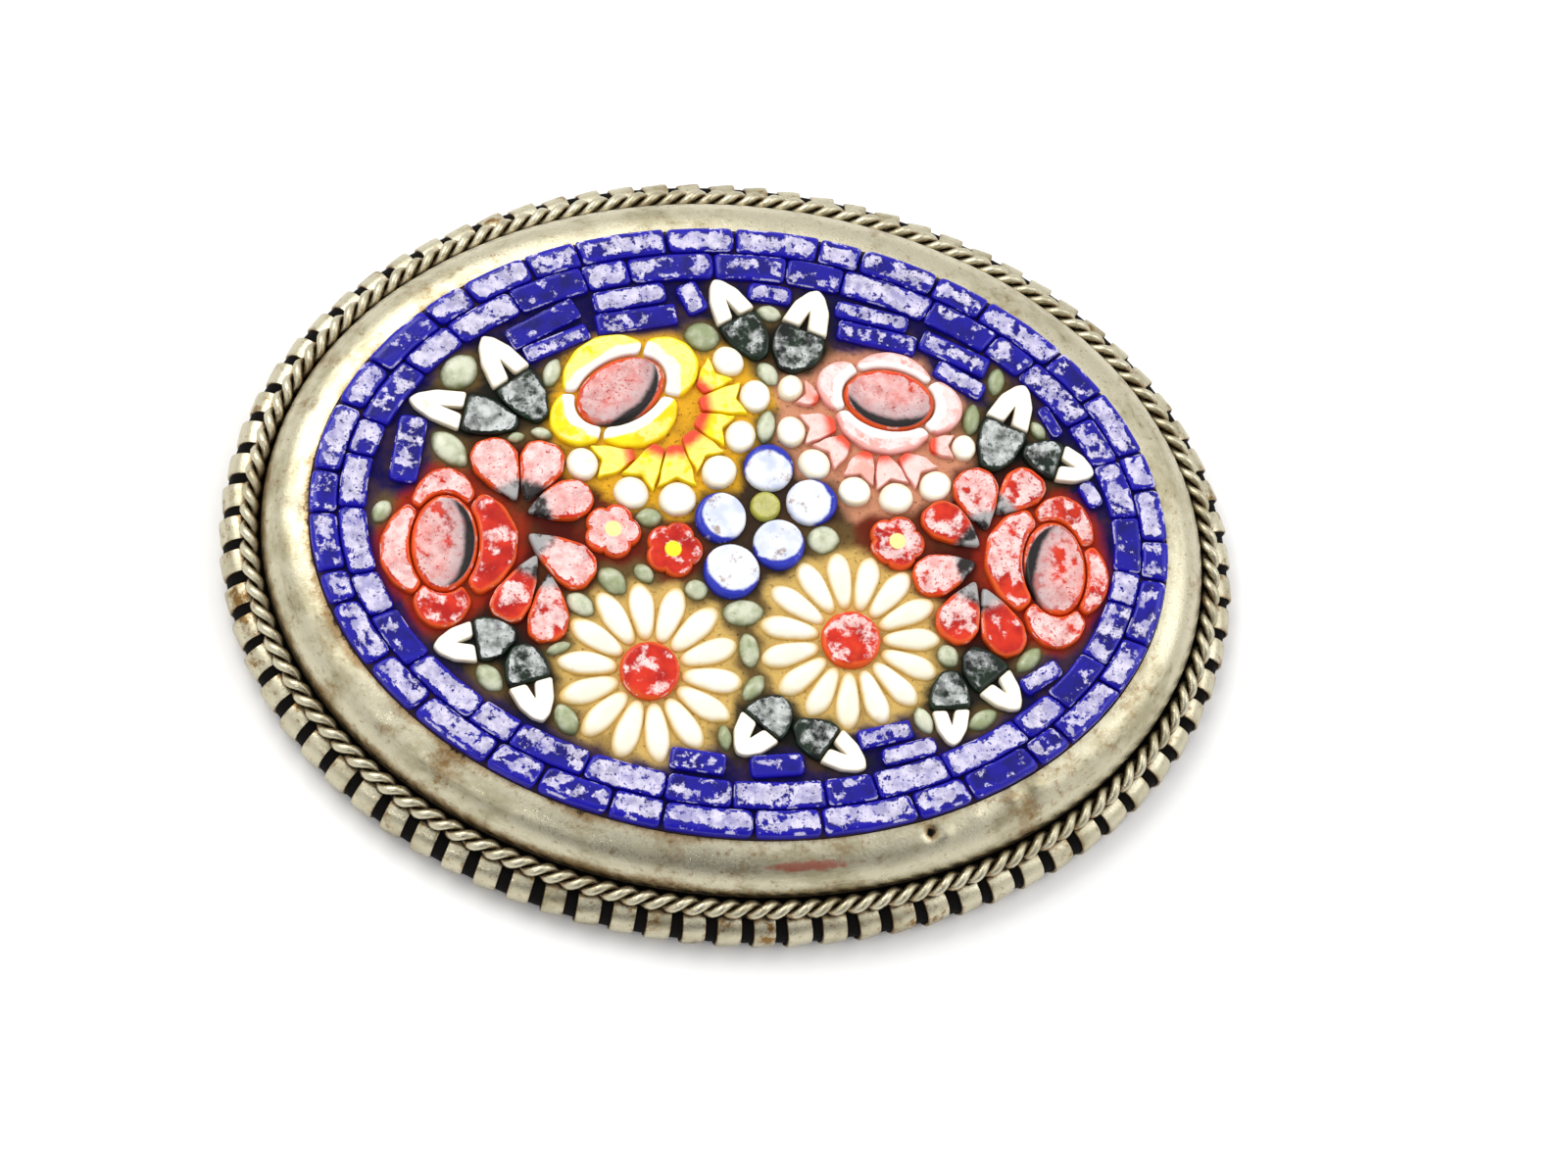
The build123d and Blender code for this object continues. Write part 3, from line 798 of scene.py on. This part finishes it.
def edgeTree():
    # finds the edges of the pieces and of the bezel that stand beside a place
    spots, colours, owners = [], [], []
    rows = [("bezel", mastic["atBezel"], [[ovalPoint(math.radians(turn), 0, 0).xy for turn in range(360)]])]
    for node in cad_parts:
        if node not in ("setting", "mastic_bed", "brooch_pin"):
            colour = next(colour for sort, colour in mastic["besides"].items() if sort in node)
            rows.append((node, colour, shownOutlines(node)))
    for node, colour, outlines in rows:
        for number, outline in enumerate(outlines):
            for start, end in sidesOf(outline):
                count = math.ceil((end - start).length / (mastic["spacing"] * mm))
                spots += [start.lerp(end, step / count) for step in range(count)]
                colours += [Vector(colour)] * count
                owners += [(node, number)] * count
    tree = KDTree(len(spots))
    for index, spot in enumerate(spots):
        tree.insert(spot.to_3d(), index)
    tree.balance()
    return tree, colours, owners


def groundColour(point):
    tree, colours, _ = edges
    weight = mastic["plainShare"]
    total = Vector(mastic["plain"]) * weight
    for _, index, distance in tree.find_n((point.x, point.y, 0), mastic["nearest"]):
        near = 1 / (distance / mm + mastic["nearness"]) ** 3
        total += colours[index] * near
        weight += near
    return (*(total / weight), 1.0)


clearance = {"least": 0.012, "step": 0.01}  # mm left to the half way line, and between one side's room and the next


def roomAround(outline, owner, most):
    # how far each side of a piece may move outwards, half way to what stands beside it
    tree, _, owners = edges
    rooms = []
    for start, end in sidesOf(outline):
        gaps = []
        for share in (0.0, 0.25, 0.5, 0.75, 1.0):
            spot = start.lerp(end, share).to_3d()
            gaps.append(tree.find(spot, filter=lambda index: owners[index] != owner)[2])
        # the nearest spot may lie half a spacing further along than the nearest edge
        gap = math.sqrt(max(0.0, min(gaps) ** 2 - (mastic["spacing"] * mm / 2) ** 2))
        rooms.append(min(most * mm, gap / 2 - clearance["least"] * mm))
    step = clearance["step"] * mm
    return [-min(own, (before + own + after) / 3 + step) for before, own, after in cornersOf(rooms)]


def makeMastic():
    shape = mastic
    sectors, rings = shape["sectors"], shape["rings"]
    longest = (oval["halfLength"] - shape["clearance"]) * mm
    widest = (oval["halfWidth"] - shape["clearance"]) * mm
    turns = [2 * math.pi * sector / sectors for sector in range(sectors)]
    points, faces = [Vector((0, 0, shape["height"])) * mm], []
    for ring in range(1, rings + 1):
        share = ring / rings
        for turn in turns:
            spot = Vector((longest * share * math.cos(turn), widest * share * math.sin(turn), 0))
            lump = sum(noise.noise(spot / mm * scale) * high for scale, high in shape["lumps"])
            height = shape["edgeHeight"] if ring == rings else shape["height"] + lump
            points.append(Vector((spot.x, spot.y, height * mm)))
    bottom = len(points)
    points += [Vector((longest * math.cos(turn), widest * math.sin(turn), shape["floor"] * mm)) for turn in turns]
    for sector in range(sectors):
        following = (sector + 1) % sectors
        faces.append((0, 1 + sector, 1 + following))
        for here in range(1, bottom, sectors):
            there = here + sectors
            faces.append((here + sector, there + sector, there + following, here + following))
    faces.append(tuple(range(bottom + sectors - 1, bottom - 1, -1)))
    made = meshObject("masticField", points, faces, masticPaint(), 60.0)
    ground = made.data.attributes.new("ground", "FLOAT_COLOR", "POINT")
    ground.data.foreach_set("color", [part for point in points for part in groundColour(point)])
    return made


edges = edgeTree()
masticField = makeMastic()
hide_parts("mastic_bed")
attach(masticField, "root")
print("mastic made")


# pieces of glass
glassShape = {
    "top": 5.02,
    "foot": 4.30,
    "wear": 0.06,  # most that a piece's top lies lower than the highest
    "grainWear": 0.05,
    "tilt": 0.022,
    "slimShare": 0.55,  # of a piece's thickness that its bevel and margin may take
    "bevelSpread": (0.75, 1.25),
    "outerSpread": (0.85, 1.15),
    "outward": 0.75,  # a side that faces outwards at least this much has the outer bevel
    # angles over a rounded edge, and how near to the top each counts
    "bevelRows": ((30, 0.5), (60, 0.65), (90, 0.8)),
    "grainRows": (22, 42, 60, 76),
    "grainRoundness": 0.8,
}


class GlassMesh:
    # collects the pieces of one node with their attributes
    def __init__(self):
        self.points, self.faces, self.shares, self.tones = [], [], [], []

    def addRing(self, outline, heights, level, tone, shareOf):
        for spot, height in zip(outline, heights):
            self.points.append((spot.x, spot.y, height))
            self.shares.extend((*shareOf(spot), level))
            self.tones.append(tone)

    def addPiece(self, rings, tone, shareOf, apex=None):
        # rings: (outline, heights, level) from the foot up
        first = len(self.points)
        count = len(rings[0][0])
        for ring in rings:
            self.addRing(*ring, tone, shareOf)
        top = len(self.points) - count
        for here in range(first, top, count):
            strip(self.faces, here, here + count, count)
        if apex is None:
            self.faces.append(tuple(range(top, top + count)))
        else:
            self.faces += [(top + corner, top + (corner + 1) % count, top + count) for corner in range(count)]
            self.addRing([apex[0]], [apex[1]], 1.0, tone, shareOf)
        self.faces.append(tuple(range(first + count - 1, first - 1, -1)))

    def made(self, name, material, smoothAngle):
        built = meshObject(name, self.points, self.faces, material, smoothAngle)
        setAttribute(built.data, "share", "FLOAT_VECTOR", self.shares)
        setAttribute(built.data, "tone", "FLOAT", self.tones)
        return built


def shareFrame(outline, aim):
    # places on a piece as shares of its half length along the aim and of its half width
    centre = centreOf(outline)
    along = aim.normalized()
    across = Vector((-along.y, along.x))
    lengths = [(p - centre).dot(along) for p in outline]
    widths = [(p - centre).dot(across) for p in outline]
    middle = centre + along * (max(lengths) + min(lengths)) / 2 + across * (max(widths) + min(widths)) / 2
    halfLength = (max(lengths) - min(lengths)) / 2
    halfWidth = (max(widths) - min(widths)) / 2
    return lambda p: ((p - middle).dot(along) / halfLength, (p - middle).dot(across) / halfWidth)


def flatPiece(glass, outline, owner, chance, look, shareOf):
    # a piece ground flat, with rounded edges
    if "step" in look:
        outline = divided(outline, look["step"] * mm)
    bevel = look["bevel"] * mm * chance.uniform(*glassShape["bevelSpread"])
    depths, cut = [bevel] * len(outline), look["corner"] * mm
    if "uneven" in look:
        spread = (1 - look["uneven"], 1 + look["uneven"])
        depths = [bevel * chance.uniform(*spread) for _ in outline]
        cut *= chance.uniform(*spread)
    if "outerBevel" in look:
        for index, (start, end) in enumerate(sidesOf(outline)):
            outward = Vector((end.y - start.y, start.x - end.x)).normalized()
            if outward.dot(start.normalized()) > glassShape["outward"]:
                depths[index] = look["outerBevel"] * mm * chance.uniform(*glassShape["outerSpread"])
    top = (glassShape["top"] - chance.uniform(0.0, glassShape["wear"]) - look["sink"]) * mm
    tilt = Vector((chance.uniform(-1, 1), chance.uniform(-1, 1))) * glassShape["tilt"]
    drop = look["bevelHeight"] * mm
    margin = look["margin"] * mm
    slim = min(1.0, thickness(outline) * glassShape["slimShare"] / (bevel + margin))
    depths = [depth * slim for depth in depths]
    centre = centreOf(outline)
    reach = max((p - centre).length for p in outline)
    top = min(top, glassShape["top"] * mm - tilt.length * reach)
    grown = movedIn(outline, roomAround(outline, owner, look["spread"]))
    # share of the bevel, more depth, height and level of each ring
    rows = [(0.0, 0.0, glassShape["foot"] * mm, 0.0), (0.0, 0.0, top - drop, 0.35)]
    for angle, level in glassShape["bevelRows"]:
        turn = math.radians(angle)
        rows.append((1 - math.cos(turn), 0.0, top - drop * (1 - math.sin(turn)), level))
    rows.append((1.0, margin * slim, top, 1.0))
    rings = []
    for share, more, height, level in rows:
        ring = softened(movedIn(grown, [depth * share + more for depth in depths]), cut)
        rings.append((ring, [height + (tilt.dot(p - centre) if level else 0.0) for p in ring], level))
    glass.addPiece(rings, chance.random(), shareOf)


def grainPiece(glass, outline, owner, chance, look, shareOf):
    # a rice-shaped piece, rounded all over
    grown = softened(movedIn(outline, roomAround(outline, owner, look["spread"])), look["corner"] * mm)
    centre = centreOf(grown)
    top = (look["top"] - chance.uniform(0.0, glassShape["grainWear"])) * mm
    wall = top - look["dome"] * mm
    rings = [(grown, [glassShape["foot"] * mm] * len(grown), 0.0), (grown, [wall] * len(grown), 0.4)]
    for angle in glassShape["grainRows"]:
        size = math.cos(math.radians(angle)) ** glassShape["grainRoundness"]
        height = wall + (top - wall) * math.sin(math.radians(angle))
        ring = [centre + (p - centre) * size for p in grown]
        rings.append((ring, [height] * len(ring), 0.4 + 0.6 * angle / 90))
    glass.addPiece(rings, chance.random(), shareOf, (centre, top))


class GlassPaint(Paint):
    # a material that knows the place on its piece of glass
    def __init__(self, name):
        super().__init__(name)
        self.tone = self.attribute("tone", "Fac")
        self.along = self.node("ShaderNodeSeparateXYZ", None, {0: self.attribute("share", "Vector")}, "X")
        self.across, self.level = self.along.other("Y"), self.along.other("Z")

    def radius(self, shift=0.0):
        # distance from the middle of the piece, or from a place this far behind it
        back = self.along + shift
        return (back * back + self.across * self.across) ** 0.5


# sizes in mm of the marks on all opaque glass
glassMarks = {"crumb": 0.14, "body": 0.9, "torn": 0.5, "veil": 0.5, "chipped": 0.8, "stained": 0.8, "relief": 0.035}


def hazeAndSheenPaint(name, look):
    # opaque glass, milky where its top was ground, with a painted reflection of the light on that flat top
    paint = GlassPaint(name)
    tone, level = paint.tone, paint.level
    shift = paint.node("ShaderNodeCombineXYZ", None, {"X": tone * 0.13, "Y": tone * 0.37, "Z": tone * 0.29})
    place = paint.vector("ADD", paint.place, shift)
    tornPlace = paint.vector("ADD", place, (0.011, 0.0, 0.0))
    blotch = paint.speckle(look["blotch"], 5.0, 0.62, place)
    crumb = paint.speckle(glassMarks["crumb"], 3.0, 0.6, place)
    clouded = paint.step(paint.speckle(glassMarks["body"], 2.0, 0.5, place), 0.35, 0.7)
    body = paint.blend(clouded, look["body"], look["bodyDeep"])
    if "edge" in look:
        atEdge = paint.step(level + (blotch - 0.5) * 0.9, 0.95, 0.6)
        body = paint.blend(atEdge * look["edgeAmount"], body, look["edge"])
    if "layer" in look:
        body = look["layer"](paint, body, blotch)
    torn = paint.speckle(glassMarks["torn"], 5.0, 0.65, tornPlace)
    onTop = paint.step(level + (crumb - 0.5) * 0.3 + (torn - 0.5) * look["ragged"], 0.78, 0.88)
    cover = paint.step(blotch + (tone - 0.5) * look["toneSpread"], look["hazeAndSheenFrom"], look["hazeAndSheenTo"])
    pits = 1.0 - paint.step(crumb + blotch * 0.35, 0.77, 0.86) * 0.85
    veil = paint.step(paint.speckle(glassMarks["veil"], 3.0, 0.6, place), 0.3, 0.7, look["thin"], 1.0)
    # milky frosting, and painted reflection of the light on the ground top
    haze = onTop * cover * pits * veil * look["hazeAndSheenAmount"]
    colour = paint.blend(haze, body, look["haze"])
    if "glint" in look:
        # painted highlight: a bright broken line along the rounded edge
        chippedPlace = paint.vector("ADD", place, (0.0, 0.017, 0.0))
        chipped = paint.step(paint.speckle(glassMarks["chipped"], 4.0, 0.6, chippedPlace), 0.54, 0.60)
        ridge = level + (crumb - 0.5) * 0.25
        line = paint.step(ridge, 0.44, 0.52) * (1.0 - paint.step(ridge, 0.60, 0.68))
        colour = paint.blend(line * chipped * look["glint"], colour, look["haze"])
    if "pattern" in look:
        colour = look["pattern"](paint, colour, blotch)
    return paint.finish(
        Base_Color=colour, Roughness=haze * 0.35 + look["gloss"], Specular_IOR_Level=0.28, IOR=1.5,
        Normal=paint.bump(crumb * 0.4 + blotch * 0.6, glassMarks["relief"], 0.5),
    )


def eyePattern(paint, body, blotch):
    # dark crescent on the side that the piece's aim points to
    bent = paint.radius(0.6) + (blotch - 0.5) * 0.3
    inside = 1.0 - paint.step(paint.radius(), 0.9, 0.96)
    body = paint.blend(paint.step(bent, 0.6, 1.2) * 0.5 * inside, body, (0.30, 0.30, 0.32))
    return paint.blend(paint.step(bent, 1.12, 1.3) * inside, body, (0.008, 0.006, 0.006))


def fanPattern(paint, body, blotch):
    # grey and black at the point
    point = paint.blend(paint.step(blotch, 0.42, 0.54), (0.02, 0.016, 0.016), (0.34, 0.33, 0.33))
    return paint.blend(paint.step(paint.along + (blotch - 0.5) * 0.6, -0.35, -0.7), body, point)


def fringePattern(paint, body, blotch):
    # red towards the rose
    return paint.blend(paint.step(paint.along + (blotch - 0.5) * 0.6, -0.3, -0.95), body, (0.70, 0.07, 0.03))


def innerLayerPattern(paint, body, blotch):
    # white inner layer of a rose petal; along runs from the eye outwards
    return paint.blend(paint.step(paint.along + (blotch - 0.5) * 0.15, 0.52, 0.42), body, (0.88, 0.86, 0.82))


def cobaltEdgePattern(paint, body, blotch):
    # brown stains, and blue round the outer end
    stained = paint.step(paint.speckle(glassMarks["stained"], 5.0, 0.7), 0.56, 0.66) * 0.7
    body = paint.blend(stained, body, (0.26, 0.13, 0.05))
    outside = paint.step(paint.radius(0.3) + (blotch - 0.5) * 0.35, 0.98, 1.12)
    return paint.blend(outside * paint.step(blotch, 0.3, 0.4), body, (0.02, 0.03, 0.38))


def dotPattern(paint, body, blotch):
    # a yellow or a pale dot in the middle
    shade = paint.blend(paint.step(paint.tone, 0.15, 0.20), (0.84, 0.78, 0.02), (0.80, 0.80, 0.30))
    return paint.blend(paint.step(paint.radius() + (blotch - 0.5) * 0.1, 0.36, 0.30), body, shade)


plainGlass = {
    "blotch": 0.75, "hazeAndSheenFrom": 0.40, "hazeAndSheenTo": 0.50, "hazeAndSheenAmount": 0.5, "toneSpread": 0.25, "thin": 0.6,
    "gloss": 0.14, "ragged": 1.1,
}
redGlass = dict(
    plainGlass, body=(0.62, 0.026, 0.008), bodyDeep=(0.38, 0.006, 0.003), haze=(0.87, 0.71, 0.69), blotch=1.0,
    hazeAndSheenFrom=0.37, hazeAndSheenTo=0.46, hazeAndSheenAmount=0.9, toneSpread=0.36, thin=0.45, edge=(0.80, 0.13, 0.015),
    edgeAmount=0.6, glint=0.5,
)
looks = {
    "cobalt": dict(
        plainGlass, body=(0.006, 0.003, 0.27), bodyDeep=(0.003, 0.001, 0.13), haze=(0.71, 0.67, 0.82), blotch=0.7,
        hazeAndSheenFrom=0.42, hazeAndSheenTo=0.48, hazeAndSheenAmount=0.94, toneSpread=0.3, thin=0.45, ragged=1.5,
        edge=(0.015, 0.01, 0.42), edgeAmount=0.6, glint=0.65,
    ),
    "red": redGlass,
    "roseEye": dict(redGlass, pattern=eyePattern, haze=(0.80, 0.62, 0.60), hazeAndSheenAmount=0.75),
    "fan": dict(redGlass, pattern=fanPattern),
    "yellow": dict(
        plainGlass, body=(0.93, 0.74, 0.01), bodyDeep=(0.88, 0.60, 0.005), haze=(0.92, 0.90, 0.50),
        layer=innerLayerPattern,
    ),
    "pink": dict(
        plainGlass, body=(0.82, 0.46, 0.42), bodyDeep=(0.78, 0.34, 0.30), haze=(0.88, 0.74, 0.73), hazeAndSheenAmount=0.9,
        layer=innerLayerPattern,
    ),
    "yellowFringe": dict(
        plainGlass, body=(0.93, 0.76, 0.01), bodyDeep=(0.90, 0.62, 0.01), haze=(0.93, 0.88, 0.42),
        pattern=fringePattern,
    ),
    "pinkFringe": dict(
        plainGlass, body=(0.82, 0.44, 0.38), bodyDeep=(0.76, 0.30, 0.24), haze=(0.88, 0.70, 0.67), hazeAndSheenAmount=0.8,
        pattern=fringePattern,
    ),
    "white": dict(
        plainGlass, body=(0.82, 0.76, 0.62), bodyDeep=(0.74, 0.64, 0.46), haze=(0.94, 0.93, 0.91), hazeAndSheenFrom=0.2,
        hazeAndSheenTo=0.36, hazeAndSheenAmount=0.97, thin=0.9, ragged=0.5,
    ),
    "blueFlower": dict(
        plainGlass, body=(0.78, 0.80, 0.86), bodyDeep=(0.55, 0.60, 0.78), haze=(0.90, 0.91, 0.94),
        pattern=cobaltEdgePattern,
    ),
    "olive": dict(plainGlass, body=(0.42, 0.40, 0.06), bodyDeep=(0.28, 0.26, 0.04), haze=(0.66, 0.66, 0.35)),
    "leaf": dict(
        plainGlass, body=(0.008, 0.020, 0.010), bodyDeep=(0.004, 0.005, 0.005), haze=(0.66, 0.69, 0.68), blotch=0.7,
        hazeAndSheenFrom=0.33, hazeAndSheenAmount=0.88, thin=0.25,
    ),
    "redFlower": dict(redGlass, pattern=dotPattern),
}


def grainPaint(name, look):
    # smooth rice-shaped glass, a little clear
    paint = GlassPaint(name)
    cloud = paint.speckle(look["cloud"], 3.0, 0.6)
    streak = paint.speckle(look["streakSize"], 4.0, 0.7)
    colour = paint.blend(paint.step(cloud + (paint.tone - 0.5) * 0.3, 0.3, 0.7), look["body"], look["second"])
    colour = paint.blend(paint.step(streak, 0.60, 0.74) * look["streaks"], colour, look["streak"])
    # painted shade: a darker, warmer colour low on the grain's sides
    colour = paint.blend(paint.step(paint.level + (cloud - 0.5) * 0.4, 0.78, 0.44), colour, look["foot"])
    return paint.finish(
        Base_Color=colour, Roughness=paint.step(streak, 0.3, 0.8, 0.12, 0.3), Specular_IOR_Level=0.4, IOR=1.5,
        Normal=paint.bump(streak, 0.012, 0.5),
    )


paints = {name: hazeAndSheenPaint(name + "Glass", look) for name, look in looks.items()}
paints["ivory"] = grainPaint("ivoryGlass", {
    "body": (0.90, 0.87, 0.76), "second": (0.88, 0.82, 0.64), "cloud": 1.2, "streaks": 0.35, "streakSize": 0.22,
    "streak": (0.78, 0.62, 0.34), "foot": (0.70, 0.47, 0.13),
})
paints["sage"] = grainPaint("sageGlass", {
    "body": (0.27, 0.31, 0.16), "second": (0.60, 0.62, 0.47), "cloud": 0.9, "streaks": 0.8, "streakSize": 0.22,
    "streak": (0.16, 0.20, 0.10), "foot": (0.12, 0.13, 0.05),
})
print("glass colours made")

# mm; spread: how far a piece may grow over its outline in the CAD model, margin: from its bevel to the full haze
# and painted reflection
flat = {
    "spread": 0.14, "bevel": 0.12, "bevelHeight": 0.16, "corner": 0.22, "margin": 0.09, "sink": 0.0,
    "smoothAngle": 55.0,
}
block = dict(flat, corner=0.24, uneven=0.45)
petal = dict(flat, spread=0.2, corner=0.28)
swollen = dict(flat, spread=0.22, step=0.6, corner=0.3)
fringe = dict(flat, spread=0.40, step=0.3, sink=0.04, corner=0.16, bevel=0.05, margin=0.02)
leafTip = dict(flat, spread=0.16, corner=0.14, bevel=0.06, margin=0.03)
roundTop = dict(flat, bevel=0.15, corner=0.45, bevelHeight=0.2)
grain = {"spread": 0.16, "corner": 0.3, "top": 4.99, "dome": 0.34, "smoothAngle": 80.0}

# node: shape, finish, how its pieces are aimed, the record's slot
pieceTable = {
    "blue_outer_row": (dict(block, outerBevel=0.26), "cobalt", "long", "cobalt_glass"),
    "blue_inner_row": (block, "cobalt", "long", "cobalt_glass"),
    "blue_fillers": (block, "cobalt", "long", "cobalt_glass"),
    "left_rose_eye": (roundTop, "roseEye", 0.0, "rose_eye_glass"),
    "right_rose_eye": (roundTop, "roseEye", 172.0, "rose_eye_glass"),
    "yellow_rose_eye": (roundTop, "roseEye", -40.0, "rose_eye_glass"),
    "pink_rose_eye": (roundTop, "roseEye", -100.0, "rose_eye_glass"),
    "left_rose_petals": (petal, "red", "rose", "red_glass"),
    "right_rose_petals": (petal, "red", "rose", "red_glass"),
    "yellow_rose_petals": (petal, "yellow", "rose", "yellow_glass"),
    "pink_rose_petals": (petal, "pink", "rose", "pink_glass"),
    "left_fan": (swollen, "fan", "sharp", "fan_glass"),
    "right_fan": (swollen, "fan", "sharp", "fan_glass"),
    "yellow_fringe": (fringe, "yellowFringe", "tip", "fringe_glass"),
    "pink_fringe": (fringe, "pinkFringe", "tip", "fringe_glass"),
    "yellow_fringe_tips": (roundTop, "white", "long", "white_glass"),
    "pink_fringe_tips": (roundTop, "white", "long", "white_glass"),
    "left_daisy_eye": (roundTop, "red", "long", "red_glass"),
    "right_daisy_eye": (roundTop, "red", "long", "red_glass"),
    "blue_flower_petals": (roundTop, "blueFlower", "flower", "pale_blue_glass"),
    "blue_flower_eye": (roundTop, "olive", "long", "olive_glass"),
    "red_flowers": (dict(roundTop, corner=0.1, bevel=0.12), "redFlower", "long", "red_glass"),
    "leaf_bodies": (dict(swollen, spread=0.34), "leaf", "tip", "dark_green_glass"),
    "leaf_tips": (leafTip, "white", "long", "white_glass"),
    "left_daisy_petals": (dict(grain, dome=0.30), "ivory", "long", "ivory_glass"),
    "right_daisy_petals": (grain, "ivory", "long", "ivory_glass"),
    "green_buds": (dict(grain, spread=0.28, top=4.97), "sage", "long", "sage_glass"),
}


def camelName(node):
    first, *rest = node.split("_")
    return first + "".join(word.capitalize() for word in rest) + "Glass"


def roseShare(outline, node):
    # along: from the rose's eye outwards as a share of the petal's thickness
    eye = stoneOutlines(node.replace("petals", "eye"))[0]
    middle = centreOf(eye)

    def gapTo(p, start, end):
        side = end - start
        share = max(0.0, min(1.0, (p - start).dot(side) / side.length_squared))
        return (p - start - side * share).length

    def gap(p):
        return min(gapTo(p, start, end) for start, end in sidesOf(eye))

    thick = max(gap(p) for p in outline)
    return lambda p: (gap(p) / thick, (p - middle).angle(Vector((1, 0))))


whiteTips = ("leaf_tips", "yellow_fringe_tips", "pink_fringe_tips")
tipCentres = [centreOf(outline) for node in whiteTips for outline in stoneOutlines(node)]
flowerCentre = centreOf(stoneOutlines("blue_flower_eye")[0])


def aimOf(outline, aimed):
    centre = centreOf(outline)
    if aimed == "long":
        return longAxis(outline)
    if aimed == "sharp":
        return centre - sharpCorner(outline)
    if aimed == "tip":
        return min(tipCentres, key=lambda tip: (tip - centre).length) - centre
    if aimed == "flower":
        return centre - flowerCentre
    return Vector((math.cos(math.radians(aimed)), math.sin(math.radians(aimed))))


for node, (shape, finish, aimed, slot) in pieceTable.items():
    chance = random.Random(node)
    glass = GlassMesh()
    addPiece = grainPiece if "dome" in shape else flatPiece
    for number, outline in enumerate(shownOutlines(node)):
        shareOf = roseShare(outline, node) if aimed == "rose" else shareFrame(outline, aimOf(outline, aimed))
        addPiece(glass, outline, (node, number), chance, shape, shareOf)
    made = glass.made(camelName(node), paints[finish], shape["smoothAngle"])
    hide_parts(node)
    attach(made, "root")
print("glass pieces made")


def pinPaint():
    paint = Paint("drawnSteel")
    draw = paint.speckle(0.06, 3.0, 0.6, paint.vector("MULTIPLY", paint.place, (0.08, 1.0, 1.0)))
    colour = paint.blend(paint.step(paint.speckle(1.4), 0.4, 0.7), (0.56, 0.54, 0.48), (0.36, 0.32, 0.25))
    rough = paint.step(draw, 0.3, 0.8, 0.26, 0.45)
    return paint.finish(Base_Color=colour, Metallic=1.0, Roughness=rough, Normal=paint.bump(draw, 0.008))


# the pin keeps its mesh from the CAD model
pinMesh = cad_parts["brooch_pin"].data
pinMesh.materials.clear()
pinMesh.materials.append(pinPaint())

studio = {
    "floorSize": 1.2,
    "floor": (0.92, 0.92, 0.92),
    "world": 0.98,
    "shade": (0.0, -0.72, 0.69),  # where the room is darker, behind the camera
    "shadeEdge": (0.72, 0.95),
    "shadeLight": 0.28,
    # name: place, size, watts, colour
    "lamps": {
        "keyPanel": ((-0.16, 0.20, 0.34), (0.30, 0.22), 0.9, (1.0, 0.985, 0.95)),
        "fillPanel": ((0.26, 0.04, 0.30), (0.22, 0.22), 0.3, (0.97, 0.98, 1.0)),
        "smallLamp": ((-0.12, -0.16, 0.26), (0.03, 0.03), 0.07, (1.0, 1.0, 1.0)),
    },
    "lens": 99.883,
    "sensor": 36.0,
    "nearest": 0.01,  # that the camera sees
    "cameraPlace": (-0.020085, -0.059983, 0.173567),
    "cameraTurn": (18.4091, -7.9562, 1.7609),
}


def makeStudio():
    paint = Paint("paleFloor")
    paint.finish(Base_Color=studio["floor"], Roughness=0.9)
    size = studio["floorSize"] / 2
    corners = [(-size, -size, 0), (size, -size, 0), (size, size, 0), (-size, size, 0)]
    floor = meshObject("floor", corners, [(0, 1, 2, 3)], paint.material)
    world = bpy.data.worlds.new("studio")
    world.use_nodes = True
    sky = Graph(world.node_tree)
    way = sky.node("ShaderNodeTexCoord", out="Generated")
    facing = sky.vector("DOT_PRODUCT", way, studio["shade"], out=1)
    light = sky.step(facing, *studio["shadeEdge"], studio["world"], studio["shadeLight"])
    background = world.node_tree.nodes["Background"].inputs
    world.node_tree.links.new(light.socket, background["Strength"])
    background["Color"].default_value = (1.0, 1.0, 1.0, 1.0)
    scene = bpy.context.scene
    scene.world = world
    for name, (place, (wide, high), watts, colour) in studio["lamps"].items():
        data = bpy.data.lights.new(name, "AREA")
        data.shape = "RECTANGLE"
        data.size, data.size_y = wide, high
        data.energy, data.color = watts, colour
        lamp = addObject(name, data)
        lamp.location = place
        lamp.rotation_euler = (-Vector(place)).to_track_quat("-Z", "Y").to_euler()
    data = bpy.data.cameras.new("camera")
    data.lens, data.sensor_width, data.clip_start = studio["lens"], studio["sensor"], studio["nearest"]
    camera = addObject("camera", data)
    camera.location = studio["cameraPlace"]
    camera.rotation_euler = [math.radians(angle) for angle in studio["cameraTurn"]]
    scene.camera = camera
    scene.view_settings.view_transform = "Standard"


makeStudio()
print("studio made")
